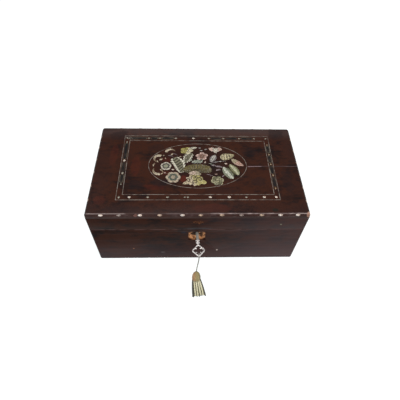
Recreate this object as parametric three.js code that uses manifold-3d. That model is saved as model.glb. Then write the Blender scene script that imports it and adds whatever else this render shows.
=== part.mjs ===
// A hinged wooden box with shell and pewter inlay on its lid, a box lock, and a key with a tassel.
// Millimetres, +Z up. The origin is the centre of the underside, and the front faces -Y.
import * as THREE from 'three';
import { mergeVertices } from 'three/addons/utils/BufferGeometryUtils.js';
import Module from 'manifold-3d';

const wasm = await Module();
wasm.setup();

// ---- Driving dimensions ----
const WIDTH = 300;
const DEPTH = 172.8;
const HEIGHT = 115.5;
const CORNER_RADIUS = 3;
const WALL = 10;
const BOTTOM_THICKNESS = 6;
const FLOOR_RISE = 0.5;
const TOP_THICKNESS = 7;
const TOP_CHAMFER = 3.4;
const JOINT_GAP = 0.3;

const SEAM_Z = 81.5;
const SEAM_GAP = 0.4;

// The back arrises of base and lid are bevelled into a V, and the lid opens until its sides meet.
const HINGE_INSET = 3;
const HINGE_STOP_ANGLE = 50;
const HINGE_CENTRE_X = 95;
const LEAF_LENGTH = 34;
const LEAF_THICKNESS = 1.2;
const KNUCKLES = 5;
const BARREL_RADIUS = 2.4;
const PIN_RADIUS = 0.9;

const KEYHOLE_X = -1.2;
const KEYHOLE_Z = 72;
const KEYHOLE_RADIUS = 2.7;
const RECESS = { width: 24.4, height: 21, depth: 1.5, z: 64.5 };
const LOCK = { width: 38, plateWidth: 46, height: 20.5, depth: 6, wall: 1, plate: 1.2 };
const STAPLE = { offset: 8, width: 3.5, thickness: 1.8, length: 6.8 };
const CATCH_WIDTH = 40;

const KEY_TURN = 3.2;
const KEY_SHAFT_RADIUS = 1.95;
const KEY_INSIDE = 8.3;
const BOW = { near: 17.8, far: 37.7, width: 17.8, thickness: 2, lobe: 2.5, reach: 4, middle: 3 };

const CORD_RADIUS = 0.75;
const TASSEL_HEAD_RADIUS = 4.8;
const TASSEL_FLOOR = 0.4;

const INLAY_DEPTH = 1;
const INLAY_GAP = 0.25;
const LINE_WIDTH = 0.8;
const LINE_GAP = 0.15;
const OUTER_LINE = { left: -111.6, right: 112.4, front: -60.6, back: 66.4 };
const INNER_LINE = { left: -103.4, right: 105.4, front: -51.4, back: 55.4 };
const OVAL = { x: 0.5, y: 4.2, rx: 71.9, ry: 44.2 };
const EDGE_SHELLS = [-128, -104.4, -77, -51, -21, 3, 31, 57, 84, 109, 132.4];
const EDGE_SHELL = { length: 6, width: 3.8 };
const CRACK = { from: 73.5, y: 1, width: 0.6, depth: 1.4 };

// ---- Materials ----
function finish(color, roughness, metalness) {
  return new THREE.MeshStandardMaterial({ color, roughness, metalness });
}
const ROSEWOOD = finish(0x3a1713, 0.35, 0);
const STEEL = finish(0x8b8983, 0.4, 0.9);
const BRIGHT_STEEL = finish(0xd8d4cf, 0.3, 0.9);
const BRASS = finish(0x94763c, 0.45, 0.9);
const PEWTER = finish(0x97918a, 0.4, 0.6);
const CORD_COTTON = finish(0x9a958a, 0.9, 0);
const TASSEL_OLIVE = finish(0x8d7a4e, 0.9, 0);
const TASSEL_CREAM = finish(0xb9b08c, 0.9, 0);
const shell = (color) => finish(color, 0.25, 0);

// ---- Solids and meshes ----
function solid(geometry) {
  const bare = geometry.index ? geometry.toNonIndexed() : geometry.clone();
  bare.deleteAttribute('normal');
  bare.deleteAttribute('uv');
  const merged = mergeVertices(bare, 1e-4);
  const vertProperties = new Float32Array(merged.attributes.position.array);
  const triVerts = new Uint32Array(merged.index.array);
  return new wasm.Manifold(new wasm.Mesh({ numProp: 3, vertProperties, triVerts }));
}

function geometryOf(body) {
  const { vertProperties, triVerts } = body.getMesh();
  const geometry = new THREE.BufferGeometry();
  geometry.setAttribute('position', new THREE.BufferAttribute(vertProperties, 3));
  geometry.setIndex(new THREE.BufferAttribute(triVerts, 1));
  return geometry;
}

function piece(name, body, material) {
  const mesh = new THREE.Mesh(geometryOf(body), material);
  mesh.name = name;
  return mesh;
}

const unite = (...bodies) => bodies.reduce((all, body) => all.add(body));
const cutFrom = (body, ...cutters) => cutters.reduce((rest, cutter) => rest.subtract(cutter), body);

// A box between two corners.
function block(x0, x1, y0, y1, z0, z1) {
  const geometry = new THREE.BoxGeometry(x1 - x0, y1 - y0, z1 - z0);
  geometry.translate((x0 + x1) / 2, (y0 + y1) / 2, (z0 + z1) / 2);
  return solid(geometry);
}

// A plan outline, as a shape or a list of [x, y], extruded between two heights.
function prismGeometry(outline, z0, z1) {
  const isShape = outline instanceof THREE.Shape;
  const shape = isShape ? outline : new THREE.Shape(outline.map(([x, y]) => new THREE.Vector2(x, y)));
  const options = { depth: z1 - z0, bevelEnabled: false, curveSegments: 4 };
  const geometry = new THREE.ExtrudeGeometry(shape, options);
  geometry.translate(0, 0, z0);
  return geometry;
}
const prism = (outline, z0, z1) => solid(prismGeometry(outline, z0, z1));

// A round bar along X or Y between two places on that axis.
function barAlongX(radius, x0, x1, y, z, sides = 12) {
  const geometry = new THREE.CylinderGeometry(radius, radius, x1 - x0, sides);
  geometry.rotateZ(Math.PI / 2);
  geometry.translate((x0 + x1) / 2, y, z);
  return solid(geometry);
}

function barAlongY(radius, x, y0, y1, z, sides = 16) {
  const geometry = new THREE.CylinderGeometry(radius, radius, y1 - y0, sides);
  geometry.translate(x, (y0 + y1) / 2, z);
  return solid(geometry);
}

// A section given as [y, z] corners, run along X between two places.
function barOfSection(section, x0, x1) {
  const shape = new THREE.Shape(section.map(([y, z]) => new THREE.Vector2(y, z)));
  const geometry = new THREE.ExtrudeGeometry(shape, { depth: x1 - x0, bevelEnabled: false });
  const axes = [[0, 1, 0], [0, 0, 1], [1, 0, 0]].map((axis) => new THREE.Vector3(...axis));
  geometry.applyMatrix4(new THREE.Matrix4().makeBasis(...axes));
  geometry.translate(x0, 0, 0);
  return solid(geometry);
}

function roundedRectangle(width, depth, radius) {
  const x = width / 2 - radius;
  const y = depth / 2 - radius;
  const shape = new THREE.Shape();
  shape.absarc(x, y, radius, 0, Math.PI / 2);
  shape.absarc(-x, y, radius, Math.PI / 2, Math.PI);
  shape.absarc(-x, -y, radius, Math.PI, Math.PI * 1.5);
  shape.absarc(x, -y, radius, Math.PI * 1.5, Math.PI * 2);
  shape.closePath();
  return shape;
}

// ---- Boards ----
const SIDES = { front: 0, right: 90, back: 180, left: 270 };

// The part of the plan that belongs to one wall, bounded by the mitres at its two ends.
function mitreWedge(side) {
  const turned = side === 'left' || side === 'right';
  const half = (turned ? DEPTH : WIDTH) / 2;
  const out = (turned ? WIDTH : DEPTH) / 2;
  const over = 5;
  const within = 2 * WALL;
  const back = (JOINT_GAP / 2) * Math.SQRT2;
  const corners = [
    [-half - over + back, -out - over],
    [half + over - back, -out - over],
    [half - within - back, -out + within],
    [-half + within + back, -out + within],
  ];
  const geometry = prismGeometry(corners, -1, HEIGHT + 1);
  geometry.rotateZ(THREE.MathUtils.degToRad(SIDES[side]));
  return solid(geometry);
}

// Four mitred boards of one storey of the carcase, by side.
function mitredWalls(z0, z1) {
  const outline = prism(roundedRectangle(WIDTH, DEPTH, CORNER_RADIUS), z0, z1);
  const insideX = WIDTH / 2 - WALL;
  const insideY = DEPTH / 2 - WALL;
  const room = block(-insideX, insideX, -insideY, insideY, z0 - 1, z1 + 1);
  const ring = outline.subtract(room);
  return Object.fromEntries(Object.keys(SIDES).map((side) => [side, ring.intersect(mitreWedge(side))]));
}

// The bottom is rebated round its edge: its middle stands up a little between the walls.
function bottomBoard() {
  const floorX = WIDTH / 2 - WALL - JOINT_GAP;
  const floorY = DEPTH / 2 - WALL - JOINT_GAP;
  const board = prism(roundedRectangle(WIDTH, DEPTH, CORNER_RADIUS), 0, BOTTOM_THICKNESS);
  const middle = block(-floorX, floorX, -floorY, floorY, BOTTOM_THICKNESS - 1, BOTTOM_THICKNESS + FLOOR_RISE);
  return board.add(middle);
}

const FRONT_Y = -DEPTH / 2;
const BACK_Y = DEPTH / 2;
const FRONT_INSIDE_Y = FRONT_Y + WALL;
const BACK_INSIDE_Y = BACK_Y - WALL;
const BASE_TOP = SEAM_Z - SEAM_GAP / 2;
const LID_BOTTOM = SEAM_Z + SEAM_GAP / 2;
const TOP_UNDERSIDE = HEIGHT - TOP_THICKNESS;
const AXIS_Y = BACK_Y - HINGE_INSET;

// ---- Hinges ----
const HINGE_SIDES = { left: -1, right: 1 };
const KNUCKLE_LENGTH = LEAF_LENGTH / KNUCKLES;
const HINGE_CLEARANCE = 0.3;

// The bevel along a back arris, downwards on the base and upwards on the lid.
function arrisBevel(edgeZ, direction) {
  const drop = (HINGE_INSET + 1) * Math.tan(THREE.MathUtils.degToRad(HINGE_STOP_ANGLE));
  const behind = AXIS_Y + HINGE_INSET + 1;
  const section = [[AXIS_Y, edgeZ], [behind, edgeZ + direction * drop], [behind, edgeZ]];
  return barOfSection(section, -WIDTH / 2 - 1, WIDTH / 2 + 1);
}

// What a hinge takes out of a board: the sinking of its leaf and room for its barrel.
function hingeSinking(side, edgeZ, direction) {
  const middle = HINGE_SIDES[side] * HINGE_CENTRE_X;
  const half = LEAF_LENGTH / 2 + HINGE_CLEARANCE;
  const deep = edgeZ + direction * (LEAF_THICKNESS + HINGE_CLEARANCE);
  const low = Math.min(deep, edgeZ - direction);
  const high = Math.max(deep, edgeZ - direction);
  const leaf = block(middle - half, middle + half, BACK_INSIDE_Y - 1, AXIS_Y, low, high);
  const barrel = barAlongX(BARREL_RADIUS + 0.45, middle - half, middle + half, AXIS_Y, SEAM_Z, 16);
  return leaf.add(barrel);
}

// One leaf with its knuckles: the base has the odd ones and the lid the even ones.
function hingeLeaf(side, edgeZ, direction, ownKnuckle) {
  const start = HINGE_SIDES[side] * HINGE_CENTRE_X - LEAF_LENGTH / 2;
  const far = edgeZ + direction * LEAF_THICKNESS;
  const [low, high] = [Math.min(edgeZ, far), Math.max(edgeZ, far)];
  let leaf = block(start, start + LEAF_LENGTH, BACK_INSIDE_Y + 0.2, AXIS_Y, low, high);
  for (let n = 0; n < KNUCKLES; n += 1) {
    const x0 = start + n * KNUCKLE_LENGTH;
    const x1 = x0 + KNUCKLE_LENGTH;
    const own = ownKnuckle(n);
    leaf = own
      ? leaf.add(barAlongX(BARREL_RADIUS, x0 + 0.2, x1 - 0.2, AXIS_Y, SEAM_Z))
      : leaf.subtract(barAlongX(BARREL_RADIUS + HINGE_CLEARANCE, x0 - 0.2, x1 + 0.2, AXIS_Y, SEAM_Z));
  }
  const bore = barAlongX(PIN_RADIUS + HINGE_CLEARANCE, start - 1, start + LEAF_LENGTH + 1, AXIS_Y, SEAM_Z);
  return leaf.subtract(bore);
}

function hingePin(side) {
  const middle = HINGE_SIDES[side] * HINGE_CENTRE_X;
  return barAlongX(PIN_RADIUS, middle - LEAF_LENGTH / 2, middle + LEAF_LENGTH / 2, AXIS_Y, SEAM_Z);
}

const isOdd = (n) => n % 2 === 0;
const isEven = (n) => n % 2 === 1;

// ---- Lock, catch and keyhole ----
// The keyhole: a round eye with a slot below it, through whatever lies between y0 and y1.
function keyhole(y0, y1, ease = 0) {
  const eye = barAlongY(KEYHOLE_RADIUS + ease, KEYHOLE_X, y0, y1, KEYHOLE_Z, 20);
  const slotHalf = 1.3 + ease;
  const slot = block(KEYHOLE_X - slotHalf, KEYHOLE_X + slotHalf, y0, y1, KEYHOLE_Z - 8.5, KEYHOLE_Z);
  return eye.add(slot);
}

const LOCK_TOP = BASE_TOP;
const LOCK_BOTTOM = LOCK_TOP - LOCK.plate - LOCK.height;

// The outside of the lock, grown by a gap where the board is cut for it.
function lockBlank(gap = 0) {
  const plateHalf = LOCK.plateWidth / 2 + gap;
  const caseHalf = LOCK.width / 2 + gap;
  const inside = FRONT_INSIDE_Y + (gap ? 1 : 0);
  const above = LOCK_TOP + (gap ? 1 : 0);
  const outside = FRONT_INSIDE_Y - LOCK.depth - gap;
  const flangeBottom = LOCK_TOP - LOCK.plate - gap;
  const low = LOCK_BOTTOM - gap;
  const plateFront = FRONT_INSIDE_Y - LOCK.plate - gap;
  const flange = block(KEYHOLE_X - plateHalf, KEYHOLE_X + plateHalf, outside, inside, flangeBottom, above);
  const plate = block(KEYHOLE_X - plateHalf, KEYHOLE_X + plateHalf, plateFront, inside, low, above);
  const body = block(KEYHOLE_X - caseHalf, KEYHOLE_X + caseHalf, outside, inside, low, above);
  return unite(flange, plate, body);
}

function boxLock() {
  const half = LOCK.width / 2 - LOCK.wall;
  const front = FRONT_INSIDE_Y - LOCK.depth;
  const works = block(
    KEYHOLE_X - half, KEYHOLE_X + half,
    front + LOCK.wall, FRONT_INSIDE_Y - LOCK.plate,
    LOCK_BOTTOM + LOCK.wall, LOCK_TOP - LOCK.plate,
  );
  const slots = [-1, 1].map((side) => {
    const x = KEYHOLE_X + side * STAPLE.offset;
    const half = STAPLE.width / 2 + 0.8;
    const y = FRONT_INSIDE_Y - LOCK.depth / 2;
    const deep = STAPLE.thickness / 2 + 0.8;
    return block(x - half, x + half, y - deep, y + deep, LOCK_TOP - LOCK.plate - 1, LOCK_TOP + 1);
  });
  return cutFrom(lockBlank(), works, ...slots, keyhole(front - 1, front + LOCK.wall + 0.5));
}

function catchBlank(gap = 0) {
  const half = CATCH_WIDTH / 2 + gap;
  const y0 = FRONT_INSIDE_Y - LOCK.depth - gap;
  const y1 = FRONT_INSIDE_Y - 0.6 + gap;
  const below = LID_BOTTOM - (gap ? 1 : 0);
  return block(KEYHOLE_X - half, KEYHOLE_X + half, y0, y1, below, LID_BOTTOM + LOCK.plate + gap);
}

function lockCatch() {
  const staples = [-1, 1].map((side) => {
    const x = KEYHOLE_X + side * STAPLE.offset;
    const y = FRONT_INSIDE_Y - LOCK.depth / 2;
    const half = STAPLE.width / 2;
    const deep = STAPLE.thickness / 2;
    return block(x - half, x + half, y - deep, y + deep, LID_BOTTOM - STAPLE.length, LID_BOTTOM + 0.5);
  });
  return unite(catchBlank(), ...staples);
}

// ---- Key ----
// Drawn along -Y from the keyhole on the front face, then turned a little and moved there.
function keySolid() {
  const profile = [
    [0, -KEY_INSIDE], [KEY_SHAFT_RADIUS, -KEY_INSIDE], [KEY_SHAFT_RADIUS, 11.6],
    [3.25, 11.8], [3.25, 12.4], [2, 12.7], [2, 13.3], [2.7, 13.9], [3, 15.1], [2.7, 16.5],
    [1.9, 17.2], [1.5, 17.9], [1.5, 19.4], [0, 19.4],
  ];
  const turned = new THREE.LatheGeometry(profile.map(([r, l]) => new THREE.Vector2(r, l)), 16);
  turned.rotateX(Math.PI);
  const bit = block(-7, 0, KEY_INSIDE - 2.6, KEY_INSIDE - 0.4, -1, 1);
  return unite(solid(turned), keyBow(), bit);
}

// A square set corner to corner, pierced by four lobes that meet in the middle.
function keyBow() {
  const middleY = -(BOW.near + BOW.far) / 2;
  const halfLong = (BOW.far - BOW.near) / 2;
  const halfWide = BOW.width / 2;
  const round = 1.2;
  const lozenge = new THREE.Shape();
  const corners = [[halfWide, 0], [0, halfLong], [-halfWide, 0], [0, -halfLong]];
  corners.forEach(([x, y], n) => {
    const [px, py] = corners[(n + 3) % 4];
    const [nx, ny] = corners[(n + 1) % 4];
    const length = Math.hypot(px - x, py - y);
    const part = round / length;
    const enter = [x + (px - x) * part, y + (py - y) * part];
    if (n === 0) lozenge.moveTo(...enter);
    else lozenge.lineTo(...enter);
    lozenge.quadraticCurveTo(x, y, x + (nx - x) * part, y + (ny - y) * part);
  });
  lozenge.closePath();
  const half = BOW.thickness / 2;
  const lobeCentres = [[BOW.reach, 0], [-BOW.reach, 0], [0, BOW.reach], [0, -BOW.reach]];
  const lobes = lobeCentres.map(([x, y]) => prism(circle(BOW.lobe, 12, x, y), -half - 1, half + 1));
  const heart = prism(circle(BOW.middle, 12), -half - 1, half + 1);
  return cutFrom(prism(lozenge, -half, half), heart, ...lobes).translate([0, middleY, 0]);
}

function placedKey() {
  const mesh = piece('key', keySolid(), BRIGHT_STEEL);
  const holder = new THREE.Group();
  holder.position.set(KEYHOLE_X, FRONT_Y, KEYHOLE_Z);
  holder.rotation.z = THREE.MathUtils.degToRad(KEY_TURN);
  holder.add(mesh);
  return holder;
}

// ---- Cord and tassel ----
// From just under the tip of the bow, nearly straight down to the tassel.
const CORD_ROUTE = [
  [0.9, -124.1, 70.2],
  [0.4, -124.4, 60],
  [-0.7, -124.6, 48],
  [-1.5, -124.3, 37],
  [-1.8, -124.1, 29.2],
];
const CORD_STEP = 2.5 * 2 * CORD_RADIUS;

function cordGeometry() {
  const route = new THREE.CatmullRomCurve3(CORD_ROUTE.map((place) => new THREE.Vector3(...place)));
  const section = new THREE.Shape(circle(CORD_RADIUS, 8).map(([x, y]) => new THREE.Vector2(x, y)));
  const steps = Math.ceil(route.getLength() / CORD_STEP);
  return new THREE.ExtrudeGeometry(section, { steps, extrudePath: route });
}

const TASSEL_TOP = new THREE.Vector3(-1.8, -124, 28.8);
const TASSEL_NECK = new THREE.Vector3(-2.1, -132.6, 14.6);
const TASSEL_END = new THREE.Vector3(1.5, -150, TASSEL_FLOOR);

// Stands a lathed solid, drawn upwards from 0, with its foot at one point and its axis towards another.
function leanOn(geometry, foot, towards) {
  const axis = towards.clone().sub(foot).normalize();
  const turn = new THREE.Quaternion().setFromUnitVectors(new THREE.Vector3(0, 1, 0), axis);
  geometry.applyQuaternion(turn);
  geometry.translate(foot.x, foot.y, foot.z);
  return solid(geometry);
}

function lathe(profile, segments) {
  return new THREE.LatheGeometry(profile.map(([r, y]) => new THREE.Vector2(r, y)), segments);
}

function tasselHead(gap = 0) {
  const length = TASSEL_TOP.distanceTo(TASSEL_NECK);
  const r = TASSEL_HEAD_RADIUS;
  const profile = [
    [0, -gap], [r * 0.85 + gap, -gap], [r + gap, 3], [r * 0.95 + gap, 7],
    [r * 0.75 + gap, length * 0.7], [r * 0.4 + gap, length * 0.9], [0, length + gap],
  ];
  return leanOn(lathe(profile, 14), TASSEL_NECK, TASSEL_TOP);
}

// The skirt widens sideways to its end, is flatter than it is wide, and is cut level with the surface below.
function tasselSkirt() {
  const length = TASSEL_NECK.distanceTo(TASSEL_END);
  const r = TASSEL_HEAD_RADIUS;
  const profile = [[0, -length], [r * 2, -length], [r * 1.15, -length * 0.5], [r * 0.8, 0], [0, 0]];
  const geometry = lathe(profile, 18);
  geometry.scale(1, 1, 0.62);
  const leaned = leanOn(geometry, TASSEL_NECK, TASSEL_NECK.clone().multiplyScalar(2).sub(TASSEL_END));
  return leaned.intersect(block(-60, 60, -200, -100, TASSEL_FLOOR, 60)).subtract(tasselHead(JOINT_GAP));
}

// ---- Outlines, as lists of [x, y] ----
function polar(count, radiusAt) {
  return Array.from({ length: count }, (_, n) => {
    const angle = (n / count) * Math.PI * 2;
    const r = radiusAt(angle);
    return [r * Math.cos(angle), r * Math.sin(angle)];
  });
}

function circle(radius, count, x = 0, y = 0) {
  return polar(count, () => radius).map(([px, py]) => [px + x, py + y]);
}

function ellipse(rx, ry, count, x = 0, y = 0) {
  return circle(1, count).map(([px, py]) => [px * rx + x, py * ry + y]);
}

// Round petals about a centre: depth is how far the notches go in, from 0 to 1.
function flower(petals, radius, depth, perPetal = 5) {
  const petal = (a) => Math.abs(Math.cos((petals * a) / 2)) ** 0.7;
  return polar(petals * perPetal, (a) => radius * (1 - depth + depth * petal(a)));
}

// A leaf from tip to tip along X, bowed sideways, with teeth along both edges if asked.
function leaf(length, width, { bow = 0, teeth = 0, toothDepth = 0, fullness = 0.8, steps = 7 } = {}) {
  const edge = (side) => Array.from({ length: steps }, (_, n) => {
    const t = (n + (side > 0 ? 0.001 : 0)) / steps;
    const tooth = teeth ? toothDepth * Math.abs(Math.sin(Math.PI * teeth * t)) : 0;
    const half = (width / 2) * Math.sin(Math.PI * Math.min(t, 1)) ** fullness + (n ? tooth : 0);
    return [-length / 2 + length * t, side * half + bow * Math.sin(Math.PI * t)];
  });
  const lower = edge(-1);
  const upper = edge(1).slice(1).reverse();
  return [...lower, [length / 2, 0], ...upper];
}

function toothedLeaf(length, width, teeth) {
  return leaf(length, width, { bow: 2, teeth, toothDepth: 1.2, steps: teeth * 3 });
}

// A band bent round a centre, thick in the middle and thin at its ends, with a round knob on the first end.
function scroll(radius, width, fromAngle, toAngle, knob = 0.45, steps = 8) {
  const place = (t, offset) => {
    const angle = THREE.MathUtils.degToRad(fromAngle + (toAngle - fromAngle) * t);
    return [(radius + offset) * Math.cos(angle), (radius + offset) * Math.sin(angle)];
  };
  const half = (t) => (width / 2) * (0.25 + 0.75 * Math.sin(Math.PI * Math.min(1, knob + t * (1 - knob))));
  const outer = Array.from({ length: steps + 1 }, (_, n) => place(n / steps, half(n / steps)));
  const inner = Array.from({ length: steps + 1 }, (_, n) => place(n / steps, -half(n / steps)));
  return [...outer, ...inner.reverse()];
}

// A drop with a round head at -X and a tail that curls up towards +X.
function paisley(length, width, curl) {
  const steps = 9;
  const edge = (side) => Array.from({ length: steps }, (_, n) => {
    const t = (n + 1) / (steps + 1);
    const half = (width / 2) * Math.sqrt(t) * (1 - t) ** 0.8 * 1.75;
    return [-length / 2 + length * t, side * half + curl * t * t];
  });
  return [[-length / 2, 0], ...edge(-1), [length / 2, curl], ...edge(1).reverse()];
}

// Two wings to the sides and a short body between them.
function butterfly(span) {
  return polar(24, (a) => span * (0.47 + 0.31 * Math.abs(Math.sin(a)) ** 3 + 0.15 * Math.cos(3 * a)));
}

// A leaf of seven lobes, wider than it is high.
function lobedLeaf(width) {
  return polar(35, (a) => width * (0.3 + 0.15 * Math.cos(a) ** 2 + 0.05 * Math.cos(7 * a)));
}

// The basket: a long hull with an arched rim and a foot that is hollowed in the middle.
function basket(width, height) {
  const steps = 12;
  const rim = Array.from({ length: steps + 1 }, (_, n) => {
    const angle = (n / steps) * Math.PI;
    return [(width / 2) * Math.cos(angle), height * 0.62 * Math.sin(angle) ** 0.8];
  });
  const foot = Array.from({ length: 7 }, (_, n) => {
    const t = (n + 1) / 8;
    const x = -width / 2 + width * t;
    const round = Math.sin(Math.PI * t);
    return [x * 0.86, height * (0.16 * round ** 2 - 0.38 * round ** 0.35)];
  });
  return [...rim, ...foot];
}

// Moves every corner outwards along the mean normal of its two edges.
function grown(points, distance) {
  const count = points.length;
  const area = points.reduce((sum, [x, y], n) => {
    const [nx, ny] = points[(n + 1) % count];
    return sum + x * ny - nx * y;
  }, 0);
  const outwards = area > 0 ? 1 : -1;
  return points.map(([x, y], n) => {
    const [px, py] = points[(n + count - 1) % count];
    const [nx, ny] = points[(n + 1) % count];
    const before = new THREE.Vector2(y - py, px - x).normalize();
    const after = new THREE.Vector2(ny - y, x - nx).normalize();
    const normal = before.add(after).normalize();
    return [x + outwards * distance * normal.x, y + outwards * distance * normal.y];
  });
}

// ---- The picture of a flower basket ----
// Each shell piece: its name, colour, centre, turn in degrees and outline.
const PICTURE = [
  ['shell_basket_bud', 0xd8b9a0, [-3, -12.4], 0, leaf(17, 5.6, { bow: 2, fullness: 0.5 })],
  ['shell_basket', 0x8f8a3a, [0, -6.5], 0, basket(42, 19)],
  ['shell_basket_leaf', 0xd9cf8e, [-3, -25], 0, lobedLeaf(31)],
  ['shell_ringed_flower', 0xd9d4c4, [-46, 1.6], 18, flower(5, 7.9, 0.18)],
  ['shell_large_flower', 0xbfc4a4, [-35, -20], 0, flower(6, 10.6, 0.18)],
  ['shell_toothed_leaf', 0xb3b5a2, [-29, 5], -52, toothedLeaf(31, 13, 4)],
  ['shell_yellow_flower', 0xb5b55a, [-18, 34.2], 20, flower(5, 7.6, 0.3)],
  ['shell_pale_bud', 0xc9c8b8, [-5.6, 39.4], 8, leaf(9, 4.6)],
  ['shell_leaf_cluster', 0xb7bca6, [-12.5, 18.5], 62, toothedLeaf(20, 9, 5)],
  ['shell_pink_flower', 0xd4a79a, [7, 21.8], 90, flower(5, 8.4, 0.3)],
  ['shell_teal_leaf', 0x8fa596, [-0.5, 9.9], 0, leaf(14, 5.6, { bow: 1 })],
  ['shell_butterfly', 0xd8c4b4, [28, 34.5], 90, butterfly(11)],
  ['shell_ribbed_leaf', 0x9a9fa0, [23.6, 17.2], 62, leaf(16.5, 8)],
  ['shell_paisley', 0xc8bd86, [45.5, 20.2], 4, paisley(22, 14, 3.5)],
  ['shell_pink_leaf', 0xc99a8c, [59.3, 9.6], -40, leaf(23, 8.5, { bow: -1 })],
  ['shell_fruit_left', 0xa9b69a, [44, -10.6], -62, leaf(26, 10.5, { bow: -1.2, fullness: 0.6 })],
  ['shell_fruit_right', 0xb4bd92, [53, -5.8], -62, leaf(24, 9, { bow: 1, fullness: 0.6 })],
  ['shell_rose', 0xaeb494, [28, -26.2], 10, flower(6, 9.4, 0.2)],
  ['shell_scroll_back', 0xb59b74, [-39.6, 29.4], 0, scroll(7, 3, 175, 25)],
  ['shell_scroll_left', 0xb59b74, [-57.2, 16.4], 0, scroll(6.6, 3.6, 60, 235)],
  ['shell_scroll_front', 0xb59b74, [-56.4, -6.4], 0, scroll(7.6, 3.2, 285, 150)],
  ['shell_purple_leaf', 0x8d7a80, [31.5, 0.2], -12, leaf(12.5, 3.6, { bow: 0.8 })],
];

function placedOutline([, , [x, y], turn, points]) {
  const angle = THREE.MathUtils.degToRad(turn);
  const centre = new THREE.Vector2(0, 0);
  return points.map(([px, py]) => {
    const point = new THREE.Vector2(px, py).rotateAround(centre, angle);
    return [x + point.x, y + point.y];
  });
}

const inlaid = (outline) => prism(outline, HEIGHT - INLAY_DEPTH, HEIGHT);
function inlayPocket(outline) {
  return prism(grown(outline, INLAY_GAP), HEIGHT - INLAY_DEPTH - INLAY_GAP, HEIGHT + 1);
}

// Pieces that meet are sawn to fit: each is cut back from those listed before it.
function pictureSolids() {
  const pockets = PICTURE.map((entry) => inlayPocket(placedOutline(entry)));
  return PICTURE.map((entry, n) => cutFrom(inlaid(placedOutline(entry)), ...pockets.slice(0, n)));
}

// ---- Stringing ----
function rectangleRing({ left, right, front, back }, half) {
  const outer = new THREE.Shape();
  outer.moveTo(left - half, front - half);
  outer.lineTo(right + half, front - half);
  outer.lineTo(right + half, back + half);
  outer.lineTo(left - half, back + half);
  outer.closePath();
  const inner = new THREE.Path();
  inner.moveTo(left + half, front + half);
  inner.lineTo(left + half, back - half);
  inner.lineTo(right - half, back - half);
  inner.lineTo(right - half, front + half);
  inner.closePath();
  outer.holes.push(inner);
  return outer;
}

function ovalRing({ x, y, rx, ry }, half) {
  const outline = (grow) => ellipse(rx + grow, ry + grow, 48, x, y);
  const corners = (points) => points.map(([px, py]) => new THREE.Vector2(px, py));
  const shape = new THREE.Shape(corners(outline(half)));
  shape.holes.push(new THREE.Path(corners(outline(-half).reverse())));
  return shape;
}

const LINES = [
  ['stringing_outer', (half) => rectangleRing(OUTER_LINE, half)],
  ['stringing_inner', (half) => rectangleRing(INNER_LINE, half)],
  ['stringing_oval', (half) => ovalRing(OVAL, half)],
];
const lineSolid = (ring) => prism(ring(LINE_WIDTH / 2), HEIGHT - INLAY_DEPTH, HEIGHT);
function lineGroove(ring) {
  return prism(ring(LINE_WIDTH / 2 + LINE_GAP), HEIGHT - INLAY_DEPTH - LINE_GAP, HEIGHT + 1);
}

// ---- Shell lozenges on the front arris ----
function edgeShell(x, gap = 0) {
  const depth = 0.8 + gap;
  const outline = ellipse(EDGE_SHELL.length / 2 + gap, EDGE_SHELL.width / 2 + gap, 12);
  const geometry = prismGeometry(outline, -depth, gap ? 1 : 0);
  geometry.rotateX(Math.PI / 4);
  geometry.translate(x, FRONT_Y + TOP_CHAMFER / 2, HEIGHT - TOP_CHAMFER / 2);
  return solid(geometry);
}

// ---- Lid top ----
function topBoard() {
  const radius = CORNER_RADIUS;
  const flat = roundedRectangle(WIDTH - 2 * TOP_CHAMFER, DEPTH - 2 * TOP_CHAMFER, radius);
  const bevel = { bevelEnabled: true, bevelSize: TOP_CHAMFER, bevelThickness: TOP_CHAMFER, bevelSegments: 1 };
  const geometry = new THREE.ExtrudeGeometry(flat, { depth: TOP_THICKNESS, curveSegments: 4, ...bevel });
  geometry.translate(0, 0, HEIGHT - TOP_CHAMFER - TOP_THICKNESS);
  const slice = block(-WIDTH, WIDTH, -DEPTH, DEPTH, TOP_UNDERSIDE, HEIGHT + 1);
  return solid(geometry).intersect(slice);
}

// The shrinkage crack that runs from the oval to the right-hand edge: a narrow V.
function crackCut() {
  const { from, y, width, depth } = CRACK;
  const section = [[y - width / 2, HEIGHT + 0.1], [y, HEIGHT - depth], [y + width / 2, HEIGHT + 0.1]];
  return barOfSection(section, from, WIDTH / 2 + 2);
}

// The chip that is out of the front right corner.
function cornerChip() {
  const geometry = new THREE.BoxGeometry(6, 6, 6);
  geometry.rotateZ(Math.PI / 4);
  geometry.rotateX(Math.PI / 5);
  geometry.translate(WIDTH / 2 + 0.4, FRONT_Y - 0.4, HEIGHT - 0.6);
  return solid(geometry);
}

function lidTop() {
  return cutFrom(
    topBoard(),
    ...PICTURE.map((entry) => inlayPocket(placedOutline(entry))),
    ...LINES.map(([, ring]) => lineGroove(ring)),
    ...EDGE_SHELLS.map((x) => edgeShell(x, INLAY_GAP)),
    crackCut(),
    cornerChip(),
  );
}

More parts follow.
